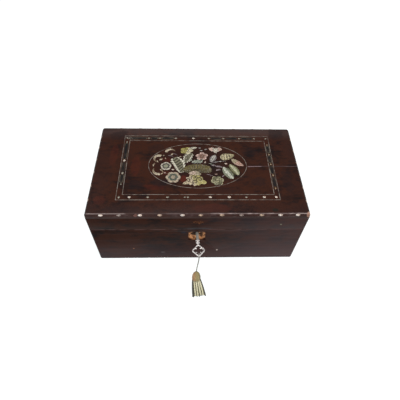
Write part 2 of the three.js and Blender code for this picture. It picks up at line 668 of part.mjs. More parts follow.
// ---- The box put together ----
function addBase(box) {
  const walls = mitredWalls(BOTTOM_THICKNESS + JOINT_GAP, BASE_TOP);
  const recessHalf = RECESS.width / 2;
  const recess = block(
    KEYHOLE_X - recessHalf, KEYHOLE_X + recessHalf,
    FRONT_Y - 1, FRONT_Y + RECESS.depth,
    RECESS.z - RECESS.height / 2, RECESS.z + RECESS.height / 2,
  );
  const front = cutFrom(walls.front, recess, keyhole(FRONT_Y - 1, FRONT_INSIDE_Y), lockBlank(JOINT_GAP));
  const sinkings = Object.keys(HINGE_SIDES).map((side) => hingeSinking(side, BASE_TOP, -1));
  const bevel = arrisBevel(BASE_TOP, -1);
  box.add(
    piece('base_front', front, ROSEWOOD),
    piece('base_back', cutFrom(walls.back, bevel, ...sinkings), ROSEWOOD),
    piece('base_left', cutFrom(walls.left, bevel), ROSEWOOD),
    piece('base_right', cutFrom(walls.right, bevel), ROSEWOOD),
    piece('base_bottom', bottomBoard(), ROSEWOOD),
    piece('box_lock', boxLock(), STEEL),
    placedKey(),
    piece('key_cord', solid(cordGeometry()), CORD_COTTON),
    piece('tassel_head', tasselHead(), TASSEL_OLIVE),
    piece('tassel_skirt', tasselSkirt(), TASSEL_CREAM),
  );
  for (const side of Object.keys(HINGE_SIDES)) {
    box.add(piece(`hinge_${side}_base_leaf`, hingeLeaf(side, BASE_TOP, -1, isOdd), BRASS));
    box.add(piece(`hinge_${side}_pin`, hingePin(side), BRASS));
  }
}

function addLid(box) {
  const walls = mitredWalls(LID_BOTTOM, TOP_UNDERSIDE - JOINT_GAP);
  const sinkings = Object.keys(HINGE_SIDES).map((side) => hingeSinking(side, LID_BOTTOM, 1));
  const bevel = arrisBevel(LID_BOTTOM, 1);
  box.add(
    piece('lid_front', cutFrom(walls.front, catchBlank(JOINT_GAP)), ROSEWOOD),
    piece('lid_back', cutFrom(walls.back, bevel, ...sinkings), ROSEWOOD),
    piece('lid_left', cutFrom(walls.left, bevel), ROSEWOOD),
    piece('lid_right', cutFrom(walls.right, bevel), ROSEWOOD),
    piece('lid_top', lidTop(), ROSEWOOD),
    piece('lock_catch', lockCatch(), STEEL),
  );
  for (const side of Object.keys(HINGE_SIDES)) {
    box.add(piece(`hinge_${side}_lid_leaf`, hingeLeaf(side, LID_BOTTOM, 1, isEven), BRASS));
  }
  for (const [name, ring] of LINES) box.add(piece(name, lineSolid(ring), PEWTER));
  EDGE_SHELLS.forEach((x, n) => {
    box.add(piece(`edge_shell_${String(n + 1).padStart(2, '0')}`, edgeShell(x), shell(0xded6c8)));
  });
  pictureSolids().forEach((body, n) => box.add(piece(PICTURE[n][0], body, shell(PICTURE[n][1]))));
}

const box = new THREE.Group();
addBase(box);
addLid(box);

export default box;
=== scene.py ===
import math
import random

import bpy
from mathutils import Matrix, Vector


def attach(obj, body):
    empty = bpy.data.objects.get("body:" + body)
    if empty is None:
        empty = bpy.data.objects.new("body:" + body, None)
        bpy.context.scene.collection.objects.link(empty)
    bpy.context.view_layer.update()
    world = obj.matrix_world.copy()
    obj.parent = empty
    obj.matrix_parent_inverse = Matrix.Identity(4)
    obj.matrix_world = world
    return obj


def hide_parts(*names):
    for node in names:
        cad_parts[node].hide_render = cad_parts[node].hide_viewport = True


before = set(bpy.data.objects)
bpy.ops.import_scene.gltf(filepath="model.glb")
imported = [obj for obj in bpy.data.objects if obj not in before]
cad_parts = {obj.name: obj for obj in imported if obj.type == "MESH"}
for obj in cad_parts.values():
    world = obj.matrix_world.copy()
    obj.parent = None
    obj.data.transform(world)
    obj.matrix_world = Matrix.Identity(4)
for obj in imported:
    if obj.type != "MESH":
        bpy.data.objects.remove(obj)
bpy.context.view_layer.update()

# ---------------------------------------------------------------------------------------------
# Camera: stands in front of the box and a little to its left, at about two box lengths from it,
# and looks down on the lid.
MM = 0.001
CAMERA_PLACE = (-15.14, -346.93, 488.06)
CAMERA_TURN = (37.53, -1.66, -1.329)
CAMERA_LENS = 31.21

bpy.ops.object.camera_add(location=[x * MM for x in CAMERA_PLACE],
                          rotation=[math.radians(a) for a in CAMERA_TURN])
camera = bpy.context.active_object
camera.data.lens = CAMERA_LENS
camera.data.sensor_width = 36
camera.data.clip_start = 0.01
bpy.context.scene.camera = camera

# ---------------------------------------------------------------------------------------------
# Cord: two plies of grey-brown silk twisted together, looped round the tip of the key's bow and
# hanging nearly straight to the tassel. It is 1.5 mm thick.
CORD_DIAMETER = 1.5
CORD_ROUTE = [
    (0.9, -124.1, 70.2),
    (0.4, -124.4, 60),
    (-0.7, -124.6, 48),
    (-1.5, -124.3, 37),
    (-1.8, -124.1, 29.2),
]


def clear_selection():
    if bpy.context.mode != "OBJECT":
        bpy.ops.object.mode_set(mode="OBJECT")
    bpy.ops.object.select_all(action="DESELECT")


def pick(piece):
    clear_selection()
    piece.select_set(True)
    bpy.context.view_layer.objects.active = piece


def name_it(name):
    piece = bpy.context.active_object
    piece.name = name
    piece.data.name = name
    return piece


def face_outwards(piece):
    pick(piece)
    bpy.ops.object.mode_set(mode="EDIT")
    bpy.ops.mesh.select_all(action="SELECT")
    bpy.ops.mesh.normals_make_consistent(inside=False)
    bpy.ops.object.mode_set(mode="OBJECT")


def mend(piece):
    """Joins corners that meet and turns the faces outwards."""
    pick(piece)
    bpy.ops.object.mode_set(mode="EDIT")
    bpy.ops.mesh.select_all(action="SELECT")
    bpy.ops.mesh.remove_doubles(threshold=0.002 * MM)
    bpy.ops.mesh.select_all(action="DESELECT")
    bpy.ops.mesh.select_non_manifold(extend=False, use_wire=False, use_multi_face=False,
                                     use_non_contiguous=False, use_verts=False)
    bpy.ops.mesh.fill_holes(sides=0)
    bpy.ops.object.mode_set(mode="OBJECT")
    face_outwards(piece)


def smooth(piece, angle=40):
    pick(piece)
    bpy.ops.object.shade_smooth_by_angle(angle=math.radians(angle), keep_sharp_edges=True)


def mapped_grid(name, columns, rows, place):
    """A grid whose corner at u, v, each from 0 to 1, is put at place(u, v), in mm."""
    clear_selection()
    bpy.ops.mesh.primitive_grid_add(x_subdivisions=columns, y_subdivisions=rows, size=1)
    piece = name_it(name)
    for vertex in piece.data.vertices:
        u = round((vertex.co.x + 0.5) * columns) / columns
        v = round((vertex.co.y + 0.5) * rows) / rows
        vertex.co = Vector(place(u, v)) * MM
    return piece


def smooth_route(points, count):
    """Points along a smooth curve through those given, as many as asked."""
    points = [Vector(p) for p in points]
    ends = [points[0] * 2 - points[1], *points, points[-1] * 2 - points[-2]]
    route = []
    for n in range(count):
        t = n / (count - 1) * (len(points) - 1)
        k = min(int(t), len(points) - 2)
        t -= k
        a, b, c, d = ends[k:k + 4]
        route.append(0.5 * (2 * b + (c - a) * t + (2 * a - 5 * b + 4 * c - d) * t ** 2
                            + (3 * b - a - 3 * c + d) * t ** 3))
    return route


def tube(name, route, radius, around=12):
    """A closed tube along a route, in mm. radius(angle, t) gives its size."""
    sides = []
    side = Vector((1, 0.13, 0.07))
    for n, point in enumerate(route):
        ahead = (route[min(n + 1, len(route) - 1)] - route[max(n - 1, 0)]).normalized()
        side = (side - ahead * side.dot(ahead)).normalized()
        sides.append((side.copy(), ahead.cross(side)))
    last = len(route) - 1

    def place(u, v):
        n = round(v * last)
        angle = u * math.tau
        across, up = sides[n]
        return route[n] + radius(angle, v) * (across * math.cos(angle) + up * math.sin(angle))

    piece = mapped_grid(name, around, last, place)
    mend(piece)
    return piece


def join(name, pieces):
    clear_selection()
    for piece in pieces:
        piece.select_set(True)
    bpy.context.view_layer.objects.active = pieces[0]
    bpy.ops.object.join()
    return name_it(name)


def route_length(route):
    return sum((b - a).length for a, b in zip(route, route[1:]))


def twisted(thickness, turns):
    """The radius of a cord of two plies twisted together."""
    def radius(angle, t):
        return thickness / 2 * (1.04 + 0.12 * math.cos(2 * (angle - turns * math.tau * t)))
    return radius


cord_route = smooth_route(CORD_ROUTE, 150)
key_cord = tube("key_cord_twist", cord_route, twisted(CORD_DIAMETER, 13), 14)
smooth(key_cord, 80)

# The loop that holds the cord to the bow.
LOOP_CENTRE = Vector((0.85, -122.3, 72.0))
LOOP_HALF = (2.75, 2.0)
loop_route = []
for n in range(61):
    a = math.tau * n / 60
    loop_route.append(LOOP_CENTRE + Vector((0.06 * math.sin(a), -LOOP_HALF[0] * math.cos(a),
                                            LOOP_HALF[1] * math.sin(a))))
cord_loop = tube("cord_loop", loop_route, twisted(1.3, 9), 12)
smooth(cord_loop, 80)

# ---------------------------------------------------------------------------------------------
# Tassel: a bulb netted over with tan and olive silk, bound at its neck, with a skirt of loose
# twisted strands whose ends lie on the table.
TASSEL_TOP = Vector((-1.8, -124, 28.8))
TASSEL_NECK = Vector((-2.05, -131.0, 17.2))
TASSEL_END = Vector((1.5, -150, 0.4))
HEAD_PROFILE = [(0, 0.6), (0.03, 5.4), (0.12, 6.3), (0.3, 6.4), (0.5, 5.9), (0.7, 4.9), (0.84, 3.4),
                (0.95, 1.8), (1, 0.6)]
NET_MESHES, NET_SLANT = 9, 0.55


def between(points, t):
    """The value at t along a list of (place, value) points, eased between them."""
    for (a, low), (b, high) in zip(points, points[1:]):
        if t <= b:
            s = (t - a) / (b - a)
            s = s * s * (3 - 2 * s)
            return low + (high - low) * s
    return points[-1][1]


def frame_along(axis):
    across = Vector((1, 0, 0))
    across = (across - axis * across.dot(axis)).normalized()
    return across, axis.cross(across)


def head_place(u, v):
    axis = TASSEL_TOP - TASSEL_NECK
    across, up = frame_along(axis.normalized())
    angle = u * math.tau
    net = abs(math.sin(NET_MESHES * (u + NET_SLANT * v) * math.pi))
    net *= abs(math.sin(NET_MESHES * (u - NET_SLANT * v) * math.pi))
    radius = between(HEAD_PROFILE, v) * (0.93 + 0.1 * net)
    return TASSEL_NECK + axis * v + radius * (across * math.cos(angle) + up * math.sin(angle))


tassel_head = mapped_grid("tassel_head_net", 108, 72, head_place)
mend(tassel_head)
smooth(tassel_head, 70)


def binding(name, along, radius, thickness, turns, steps_a_turn=24):
    """Thread wound round the tassel, as one helix."""
    axis = (TASSEL_TOP - TASSEL_NECK).normalized()
    across, up = frame_along(axis)
    route = []
    for n in range(steps_a_turn * turns + 1):
        angle = n / steps_a_turn * math.tau
        centre = TASSEL_NECK + axis * (along + thickness * 0.92 * n / steps_a_turn)
        route.append(centre + radius * (across * math.cos(angle) + up * math.sin(angle)))
    return tube(name, route, lambda angle, t: thickness / 2, 8)


neck_binding = binding("tassel_binding", 0.2, 5.9, 0.7, 2)
smooth(neck_binding, 80)


def strand_route(start_across, end_across, lift, length):
    """One strand from under the head to its end on the table, sagging and spreading on its way."""
    axis = TASSEL_END - TASSEL_NECK
    across, up = frame_along(axis.normalized())
    up = up if up.z > 0 else -up
    start = TASSEL_NECK + across * start_across + up * (2.4 * lift - 0.6) - axis * 0.04
    end = TASSEL_NECK + axis * length + across * end_across
    end.z = 1.1 + 1.1 * max(0, lift)
    middle = start.lerp(end, 0.5) + across * (end_across - start_across) * 0.1 + up * (0.7 + 0.7 * lift)
    route = smooth_route([start, middle, end], 17)
    for point in route:
        point.z = max(point.z, 1.1)
    return route


def skirt_strands(tone, places, thickness, seed):
    """places gives each strand's place across the neck and across its end, and how high it lies."""
    rng = random.Random(seed)
    strands = []
    for start_across, end_across, lift in places:
        route = strand_route(start_across, end_across, lift, rng.uniform(0.95, 1.05))
        size = thickness * rng.uniform(0.92, 1.08)
        turn = rng.uniform(0, 1)

        def radius(angle, t):
            plies = 0.88 + 0.12 * math.cos(3 * (angle - 2.2 * math.tau * (t + turn)))
            return size / 2 * plies * (0.8 + 0.2 * min(1, 5 * t))

        strands.append(tube("strand", route, radius, 14))
    return join(tone, strands)


# Each bunch of strands: across at the neck, across at the end, and height: 1 on top and -1 underneath.
CREAM_STRANDS = [(-3.0, -4.4, 0.8), (-0.4, -0.9, 1), (2.0, 3.2, 1), (4.0, 7.0, 0.8)]
OLIVE_STRANDS = [(-4.6, -6.4, 0.4), (-1.7, -2.7, 0.1), (0.8, 1.2, 0.2), (3.1, 5.2, 0.2), (4.9, 9.0, 0.3),
                 (5.4, 10.2, -0.3)]
# The dark grey strands that lie underneath are painted shade: they stand for cream strands in shade under and
# between the upper ones.
SHADED_STRANDS = [(-5.4, -8.6, 0.2), (-4.8, -7.6, -0.5), (-2.8, -4.4, -0.6), (-1.0, -2.2, -0.5),
                (0.8, 0.8, -0.6), (2.4, 3.4, -0.6), (3.6, 6.0, -0.6), (4.6, 8.2, -0.5)]
skirt_cream = skirt_strands("tassel_skirt_cream", CREAM_STRANDS, 2.5, 3)
skirt_olive = skirt_strands("tassel_skirt_olive", OLIVE_STRANDS, 1.9, 4)
skirt_shaded = skirt_strands("tassel_skirt_shaded", SHADED_STRANDS, 1.7, 5)
skirt = (skirt_cream, skirt_olive, skirt_shaded)
for strands in skirt:
    smooth(strands, 80)


class Wire:
    """A socket inside a finish, with arithmetic that adds Math nodes."""

    def __init__(self, finish, socket):
        self.finish = finish
        self.socket = socket

    def maths(self, operation, other=0.0, flip=False):
        first, second = (other, self) if flip else (self, other)
        return self.finish.node("ShaderNodeMath", {"operation": operation}, {0: first, 1: second})

    def __add__(self, other):
        return self.maths("ADD", other)

    def __radd__(self, other):
        return self.maths("ADD", other, True)

    def __sub__(self, other):
        return self.maths("SUBTRACT", other)

    def __rsub__(self, other):
        return self.maths("SUBTRACT", other, True)

    def __mul__(self, other):
        return self.maths("MULTIPLY", other)

    def __rmul__(self, other):
        return self.maths("MULTIPLY", other, True)

    def __abs__(self):
        return self.maths("ABSOLUTE")

    def ease(self, low, high):
        """0 below low and 1 above high, or the other way round if low is the higher one."""
        ends = (low, high, 0, 1) if low < high else (high, low, 1, 0)
        inputs = {0: self, 1: ends[0], 2: ends[1], 3: ends[2], 4: ends[3]}
        return self.finish.node("ShaderNodeMapRange", {"interpolation_type": "SMOOTHSTEP"}, inputs)


def colour(red, green, blue):
    """A colour given as on a paint chart, 0 to 255, as the shader takes it."""
    channels = [c / 255 for c in (red, green, blue)]
    return (*[c / 12.92 if c < 0.04045 else ((c + 0.055) / 1.055) ** 2.4 for c in channels], 1)


class Finish:
    """A surface finish being mixed: a material, its Principled shader and what feeds it."""

    def __init__(self, name, roughness=0.5, **fixed):
        self.material = bpy.data.materials.new(name)
        self.material.use_nodes = True
        self.tree = self.material.node_tree
        self.shader = self.tree.nodes["Principled BSDF"]
        self.shader.inputs["Roughness"].default_value = roughness
        for socket, value in fixed.items():
            self.shader.inputs[socket.replace("_", " ")].default_value = value
        self.place = self.node("ShaderNodeTexCoord", output="Object")

    def node(self, kind, settings=None, inputs=None, output=0):
        node = self.tree.nodes.new(kind)
        for setting, value in (settings or {}).items():
            setattr(node, setting, value)
        for socket, value in (inputs or {}).items():
            if isinstance(value, Wire):
                self.tree.links.new(value.socket, node.inputs[socket])
            else:
                node.inputs[socket].default_value = value
        return Wire(self, node.outputs[output])

    def along(self, axis):
        """The place along one axis, in metres."""
        return self.node("ShaderNodeSeparateXYZ", inputs={0: self.place}, output=axis)

    def stretched(self, stretch, shift=(0, 0, 0)):
        place = self.node("ShaderNodeVectorMath", {"operation": "MULTIPLY"}, {0: self.place, 1: stretch})
        return self.node("ShaderNodeVectorMath", {"operation": "ADD"}, {0: place, 1: shift})

    def noise(self, size, stretch=(1, 1, 1), detail=3.0, rough=0.5, warp=0.0, shift=(0, 0, 0)):
        """Cloudy noise with features of that size in mm, drawn out along the axes whose stretch is small."""
        inputs = {"Vector": self.stretched(stretch, shift), "Scale": 1 / (size * MM), "Detail": detail,
                  "Roughness": rough, "Distortion": warp}
        return self.node("ShaderNodeTexNoise", inputs=inputs)

    def attribute(self, name):
        return self.node("ShaderNodeAttribute", {"attribute_name": name}, output="Fac")

    def mix(self, factor, first, second):
        """first where factor is 0 and second where it is 1."""
        return self.node("ShaderNodeMix", {"data_type": "RGBA"}, {0: factor, 6: first, 7: second}, 2)

    def feed(self, socket, value):
        self.tree.links.new(value.socket, self.shader.inputs[socket])

    def bump(self, height, depth):
        """Raises the surface by height times depth, in mm."""
        inputs = {"Height": height, "Distance": depth * MM, "Strength": 1.0}
        self.feed("Normal", self.node("ShaderNodeBump", inputs=inputs))


def dress(piece, finish):
    piece.data.materials.clear()
    piece.data.materials.append(finish.material)


def silk(name, light, dark, thread=0.35):
    """Twisted silk: fine threads, soft sheen, and dirt between the plies."""
    finish = Finish(name, 0.75, Sheen_Weight=0.35, Sheen_Roughness=0.5)
    threads = finish.noise(thread, (1, 1, 0.3), 2)
    blotches = finish.noise(4, detail=2)
    tone = finish.mix(threads.ease(0.35, 0.65) * 0.6 + blotches.ease(0.3, 0.7) * 0.4, dark, light)
    finish.tone = tone
    finish.feed("Base Color", tone)
    finish.feed("Roughness", 0.65 + 0.2 * threads)
    finish.bump(threads, 0.08)
    return finish


cord_silk = silk("cord_silk", colour(168, 164, 154), colour(112, 108, 100))
cream_silk = silk("cream_silk", colour(236, 230, 198), colour(188, 180, 140))
olive_silk = silk("olive_silk", colour(84, 78, 52), colour(48, 43, 26))
# Dark grey silk for the strands underneath: painted shade.
shaded_silk = silk("shaded_silk", colour(86, 84, 74), colour(46, 43, 34))
head_silk = silk("head_silk", colour(190, 150, 104), colour(134, 96, 60), 0.5)
middle_of_head = head_silk.along(0).ease(-0.0052, -0.0015)
right_of_head = head_silk.along(0).ease(0.0012, 0.0034)
tone = head_silk.mix(middle_of_head * 0.85, head_silk.tone, colour(150, 138, 92))
head_silk.feed("Base Color", head_silk.mix(right_of_head * 0.7, tone, colour(92, 80, 52)))
for piece, finish in ((key_cord, cord_silk), (cord_loop, cord_silk), (tassel_head, head_silk),
                      (neck_binding, head_silk), (skirt_cream, cream_silk), (skirt_olive, olive_silk),
                      (skirt_shaded, shaded_silk)):
    dress(piece, finish)
on_cord = [cord_loop, tassel_head, neck_binding, *skirt]
for piece in (key_cord, *on_cord):
    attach(piece, "base")
    "cord" if piece in (key_cord, cord_loop) else "tassel"
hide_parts("key_cord")
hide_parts("tassel_head")
for strands in skirt:
    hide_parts("tassel_skirt")
cord_route[0] * MM
route_length(cord_route) * MM
[p * MM for p in cord_route[::5] + cord_route[-1:]]

# ---------------------------------------------------------------------------------------------
# Key: forged steel, bright from handling, with a turned collar and ball and a pierced square bow.
# It stands in the keyhole with its bow level, and its bit is inside the lock.
KEYHOLE = Vector((-1.2, -86.4, 72))
KEY_TURN = math.radians(3.2)
KEY_PROFILE = [
    (-8.3, 0.0), (-8.3, 1.7), (-8.0, 1.95), (11.3, 1.95), (11.6, 2.1), (11.8, 2.6), (12.1, 2.75), (12.4, 2.6),
    (12.65, 1.9), (13.0, 1.5), (13.3, 1.5), (13.8, 2.0), (14.4, 2.45), (15.2, 2.7), (16.0, 2.45), (16.6, 1.9),
    (17.1, 1.35), (17.7, 1.15), (18.6, 1.3), (19.4, 1.1), (19.8, 0.0),
]
BOW_NEAR, BOW_FAR, BOW_WIDTH, BOW_THICK = 17.6, 37.8, 18.6, 2.0


def prism(name, outline, low, high):
    """A plate with that outline, given as (x, y) in mm, between two heights."""
    clear_selection()
    bpy.ops.mesh.primitive_circle_add(vertices=len(outline), fill_type="NGON")
    piece = name_it(name)
    for vertex, (x, y) in zip(piece.data.vertices, outline):
        vertex.co = Vector((x, y, low)) * MM
    bpy.ops.object.mode_set(mode="EDIT")
    bpy.ops.mesh.select_all(action="SELECT")
    bpy.ops.mesh.extrude_region_move(TRANSFORM_OT_translate={"value": (0, 0, (high - low) * MM)})
    bpy.ops.mesh.select_all(action="SELECT")
    bpy.ops.mesh.normals_make_consistent(inside=False)
    bpy.ops.object.mode_set(mode="OBJECT")
    return piece


def block(name, low, high):
    """A box between two corners, in mm."""
    clear_selection()
    bpy.ops.mesh.primitive_cube_add(size=1)
    piece = name_it(name)
    for vertex in piece.data.vertices:
        share = vertex.co + Vector((0.5, 0.5, 0.5))
        vertex.co = Vector([a + (b - a) * s for a, b, s in zip(low, high, share)]) * MM
    return piece


def cut(piece, other, operation="DIFFERENCE", crossing=False):
    """Cuts or joins another piece, which is used up. crossing says that its own parts cross each other."""
    boolean = piece.modifiers.new("cut", "BOOLEAN")
    boolean.object = other
    boolean.operation = operation
    boolean.solver = "EXACT"
    boolean.use_self = crossing
    pick(piece)
    bpy.ops.object.modifier_apply(modifier=boolean.name)
    bpy.data.objects.remove(other)
    return piece


def soften(piece, width, segments=2, angle=35):
    """Rounds every arris sharper than the angle."""
    bevel = piece.modifiers.new("soften", "BEVEL")
    bevel.width = width * MM
    bevel.segments = segments
    bevel.limit_method = "ANGLE"
    bevel.angle_limit = math.radians(angle)
    bevel.use_clamp_overlap = True
    pick(piece)
    bpy.ops.object.modifier_apply(modifier=bevel.name)


def ring(radius, count, x=0.0, y=0.0):
    return [(x + radius * math.cos(a), y + radius * math.sin(a))
            for a in (math.tau * n / count for n in range(count))]


def move(piece, change):
    """Moves every corner by a function of its place in mm."""
    for vertex in piece.data.vertices:
        vertex.co = Vector(change(vertex.co / MM)) * MM


def rounded_corners(corners, radius, steps=5):
    """An outline with each corner turned into a small curve."""
    outline = []
    for n, corner in enumerate(corners):
        here = Vector(corner)
        before = (Vector(corners[n - 1]) - here).normalized() * radius
        after = (Vector(corners[(n + 1) % len(corners)]) - here).normalized() * radius
        for k in range(steps + 1):
            t = k / steps
            point = (here + before) * (1 - t) ** 2 + here * 2 * t * (1 - t) + (here + after) * t ** 2
            outline.append((point.x, point.y))
    return outline


def key_profile_place(u, v):
    n = round(v * (len(KEY_PROFILE) - 1))
    along, radius = KEY_PROFILE[n]
    return radius * math.cos(u * math.tau), -along, radius * math.sin(u * math.tau)


shaft = mapped_grid("shaft", 40, len(KEY_PROFILE) - 1, key_profile_place)
mend(shaft)
bow_middle = -(BOW_NEAR + BOW_FAR) / 2
bow_half = (BOW_FAR - BOW_NEAR) / 2
diamond = rounded_corners([(BOW_WIDTH / 2, 0), (0, bow_half), (-BOW_WIDTH / 2, 0), (0, -bow_half)], 1.9)
bow = prism("bow", diamond, -BOW_THICK / 2, BOW_THICK / 2)
for x, y, radius in ((3.9, 0, 2.9), (-3.9, 0, 2.9), (0, 4.5, 2.9), (0, -4.5, 2.9), (0, 0, 3.6)):
    cut(bow, prism("lobe", ring(radius, 36, x, y), -3, 3))
soften(bow, 0.55, 3, 50)
move(bow, lambda p: (p.x, p.y + bow_middle, p.z))
key = cut(cut(shaft, bow, "UNION"), block("bit", (-7, 5.7, -1), (0, 7.9, 1)), "UNION")
key = name_it("key_forged")


def place_key(p):
    x = p.x * math.cos(KEY_TURN) - p.y * math.sin(KEY_TURN)
    y = p.x * math.sin(KEY_TURN) + p.y * math.cos(KEY_TURN)
    return KEYHOLE + Vector((x, y, p.z))


move(key, place_key)
smooth(key, 45)


def worn_metal(name, light, dark, spots, roughness=0.35):
    """Metal with dull and bright patches, fine scratches, and dark or rusty spots."""
    finish = Finish(name, roughness, Metallic=1.0)
    clouds = finish.noise(7, detail=3)
    pits = finish.noise(1.1, detail=4, rough=0.7)
    tone = finish.mix(clouds.ease(0.35, 0.65), light, dark)
    finish.tone = finish.mix(pits.ease(0.58, 0.7) * 0.7, tone, spots)
    finish.feed("Base Color", finish.tone)
    finish.feed("Roughness", roughness + 0.2 * clouds + 0.25 * pits.ease(0.58, 0.7))
    finish.bump(pits, 0.05)
    return finish


bright_steel = worn_metal("bright_steel", colour(236, 228, 224), colour(196, 188, 184),
                          colour(108, 88, 74), 0.25)
shaft_part = bright_steel.along(1).ease(-0.0985, -0.0965)
bright_steel.feed("Base Color", bright_steel.mix(shaft_part * 0.9, bright_steel.tone, colour(150, 150, 142)))
bright_steel.feed("Metallic", 1 - 0.8 * shaft_part)
dress(key, bright_steel)
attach(key, "base")
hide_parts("key")

# ---------------------------------------------------------------------------------------------
# Carcase boards: rosewood 10 mm thick, mitred and glued at the corners, the base nailed to its
# bottom and the lid to its top, all under one old dark polish. Chips along the arrises show.
WIDTH, DEPTH, HEIGHT = 300, 172.8, 115.5
FRONT, BACK = -DEPTH / 2, DEPTH / 2
WALL = 10
CORNER_RADIUS = 3
BASE_LOW, BASE_TOP = 6.05, 81.3
LID_LOW, LID_TOP = 81.7, 108.45
TOP_UNDERSIDE = 108.5
MITRE_GAP = 0.04
HINGE_AXIS = Vector((0, 83.4, 81.5))
HINGE_PLACES = (-95, 95)
HINGE_SEAT, BARREL_SEAT = 17.3, 2.85
BEVEL_ANGLE, BEVEL_REACH, BEVEL_EASE = 50, 12, 0.35
BOTTOM_THICK, FLOOR_TOP, FLOOR_GAP = 6, 6.5, 0.3


def board_outline(half_length, half_depth):
    """One mitred board seen from above, lying along X with its outer face towards -Y."""
    corner_x, corner_y = half_length - CORNER_RADIUS, half_depth - CORNER_RADIUS
    arc = [math.radians(a) for a in (-90, -75, -60, -45)]
    right = [(corner_x + CORNER_RADIUS * math.cos(a) - MITRE_GAP * (k > 2),
              -corner_y + CORNER_RADIUS * math.sin(a)) for k, a in enumerate(arc)]
    inner = (half_length - WALL - MITRE_GAP, -half_depth + WALL)
    half = [*right, inner]
    return half + [(-x, y) for x, y in reversed(half)]


def rounded_rectangle(half_x, half_y, radius, steps=6):
    outline = []
    for quarter, (side_x, side_y) in enumerate(((1, 1), (-1, 1), (-1, -1), (1, -1))):
        for n in range(steps + 1):
            a = math.radians(90 * (quarter + n / steps))
            outline.append((side_x * (half_x - radius) + radius * math.cos(a),
                            side_y * (half_y - radius) + radius * math.sin(a)))
    return outline


def turned(outline, quarter_turns):
    for _ in range(quarter_turns):
        outline = [(-y, x) for x, y in outline]
    return outline


def wall_board(name, quarter_turns, low, high):
    """Quarter turns anticlockwise from the front board."""
    sides = (WIDTH / 2, DEPTH / 2) if quarter_turns % 2 == 0 else (DEPTH / 2, WIDTH / 2)
    return prism(name, turned(board_outline(*sides), quarter_turns), low, high)


def along_x(outline, x0, x1):
    """A bar whose section is given as (y, z) in mm, between two places on X."""
    bar = prism("bar", outline, x0, x1)
    move(bar, lambda p: (p.z, p.x, p.y))
    return bar


def hinge_clearance(direction):
    """The V that lets the lid swing back, and the sinkings for the two hinges."""
    y, z = HINGE_AXIS.y, HINGE_AXIS.z + direction * BEVEL_EASE
    far_y, far_z = y + BEVEL_REACH, z + direction * BEVEL_REACH * math.tan(math.radians(BEVEL_ANGLE))
    bevel = [(y, z), (far_y, far_z), (far_y, z - direction), (y, z - direction)]
    parts = [along_x(bevel, -WIDTH / 2 - 10, WIDTH / 2 + 10)]
    for middle in HINGE_PLACES:
        edge = BASE_TOP if direction < 0 else LID_LOW
        leaf_low, leaf_high = sorted((edge + direction * 1.4, edge - direction * 2))
        left, right = middle - HINGE_SEAT, middle + HINGE_SEAT
        parts.append(block("sinking", (left, BACK - WALL - 1, leaf_low), (right, y, leaf_high)))
        parts.append(along_x([(y + py, HINGE_AXIS.z + pz) for py, pz in ring(BARREL_SEAT, 32)], left, right))
    return join("clearance", parts)


def nicks(seed, places, size):
    """Small broken-out chips, as one joined cutter."""
    rng = random.Random(seed)
    stones = []
    for place in places:
        clear_selection()
        bpy.ops.mesh.primitive_ico_sphere_add(subdivisions=2, radius=MM)
        stone = name_it("nick")
        stretch = Vector((rng.uniform(0.8, 2.4), rng.uniform(0.5, 0.9), rng.uniform(0.5, 0.9))) * size
        move(stone, lambda p: Vector(place)
             + Vector([a * b for a, b in zip(p, stretch)]) * rng.uniform(0.8, 1.15))
        stones.append(stone)
    return join("nicks", stones)


def along_arris(seed, count, start, end, spread=0.3):
    rng = random.Random(seed)
    start, end = Vector(start), Vector(end)
    return [start.lerp(end, rng.random()) + Vector([rng.uniform(-spread, spread) for _ in range(3)])
            for _ in range(count)]


walls = {}
for part, low, high in (("base", BASE_LOW, BASE_TOP), ("lid", LID_LOW, LID_TOP)):
    for quarter_turns, side in enumerate(("front", "right", "back", "left")):
        board = wall_board(f"{part}_{side}_board", quarter_turns, low, high)
        if side != "front":
            cut(board, hinge_clearance(-1 if part == "base" else 1), crossing=True)
        walls[f"{part}_{side}"] = board

# The sunk place in the front where the lost keyhole plate was, the keyhole, and the lock's mortise.
RECESS_CENTRE = (-1.2, 64.5)
RECESS_HALF = (12.2, 10.5)
rng = random.Random(11)
recess_outline = []
half_x, half_z = RECESS_HALF
recess_corners = [(-half_x, -half_z), (half_x, -half_z), (half_x, half_z), (-half_x, half_z)]
for (x0, z0), (x1, z1) in zip(recess_corners, recess_corners[1:] + recess_corners[:1]):
    for n in range(7):
        x = x0 + (x1 - x0) * n / 7 + rng.uniform(-0.5, 0.3)
        z = z0 + (z1 - z0) * n / 7 + rng.uniform(-0.4, 0.4)
        recess_outline.append((x + RECESS_CENTRE[0], z + RECESS_CENTRE[1]))


def through_front(name, outline, y0, y1):
    """A plug whose outline is given as (x, z), between two places on Y."""
    plug = prism(name, outline, y0, y1)
    move(plug, lambda p: (p.x, p.z, p.y))
    face_outwards(plug)
    return plug


front = walls["base_front"]
cut(front, through_front("recess", recess_outline, FRONT - 1, FRONT + 1.5))
gouges = [(RECESS_CENTRE[0] + x, FRONT + 1.6, RECESS_CENTRE[1] + z) for x, z in
          ((-8, 4), (-4.5, 6), (-6, -3), (5, 5), (8, -1), (3.5, -7), (-3, -8), (6.5, -6), (0.5, 8.4), (9, 7))]
cut(front, nicks(21, gouges, 1.2), crossing=True)
cut(front, through_front("keyhole_eye", ring(2.7, 32, KEYHOLE.x, KEYHOLE.z), FRONT - 1, FRONT + 5))


def seat(name, half_width, depths, heights):
    """A sinking centred on the keyhole, between two depths behind the front and two heights."""
    return block(name, (KEYHOLE.x - half_width, FRONT + depths[0], heights[0]),
                 (KEYHOLE.x + half_width, FRONT + depths[1], heights[1]))


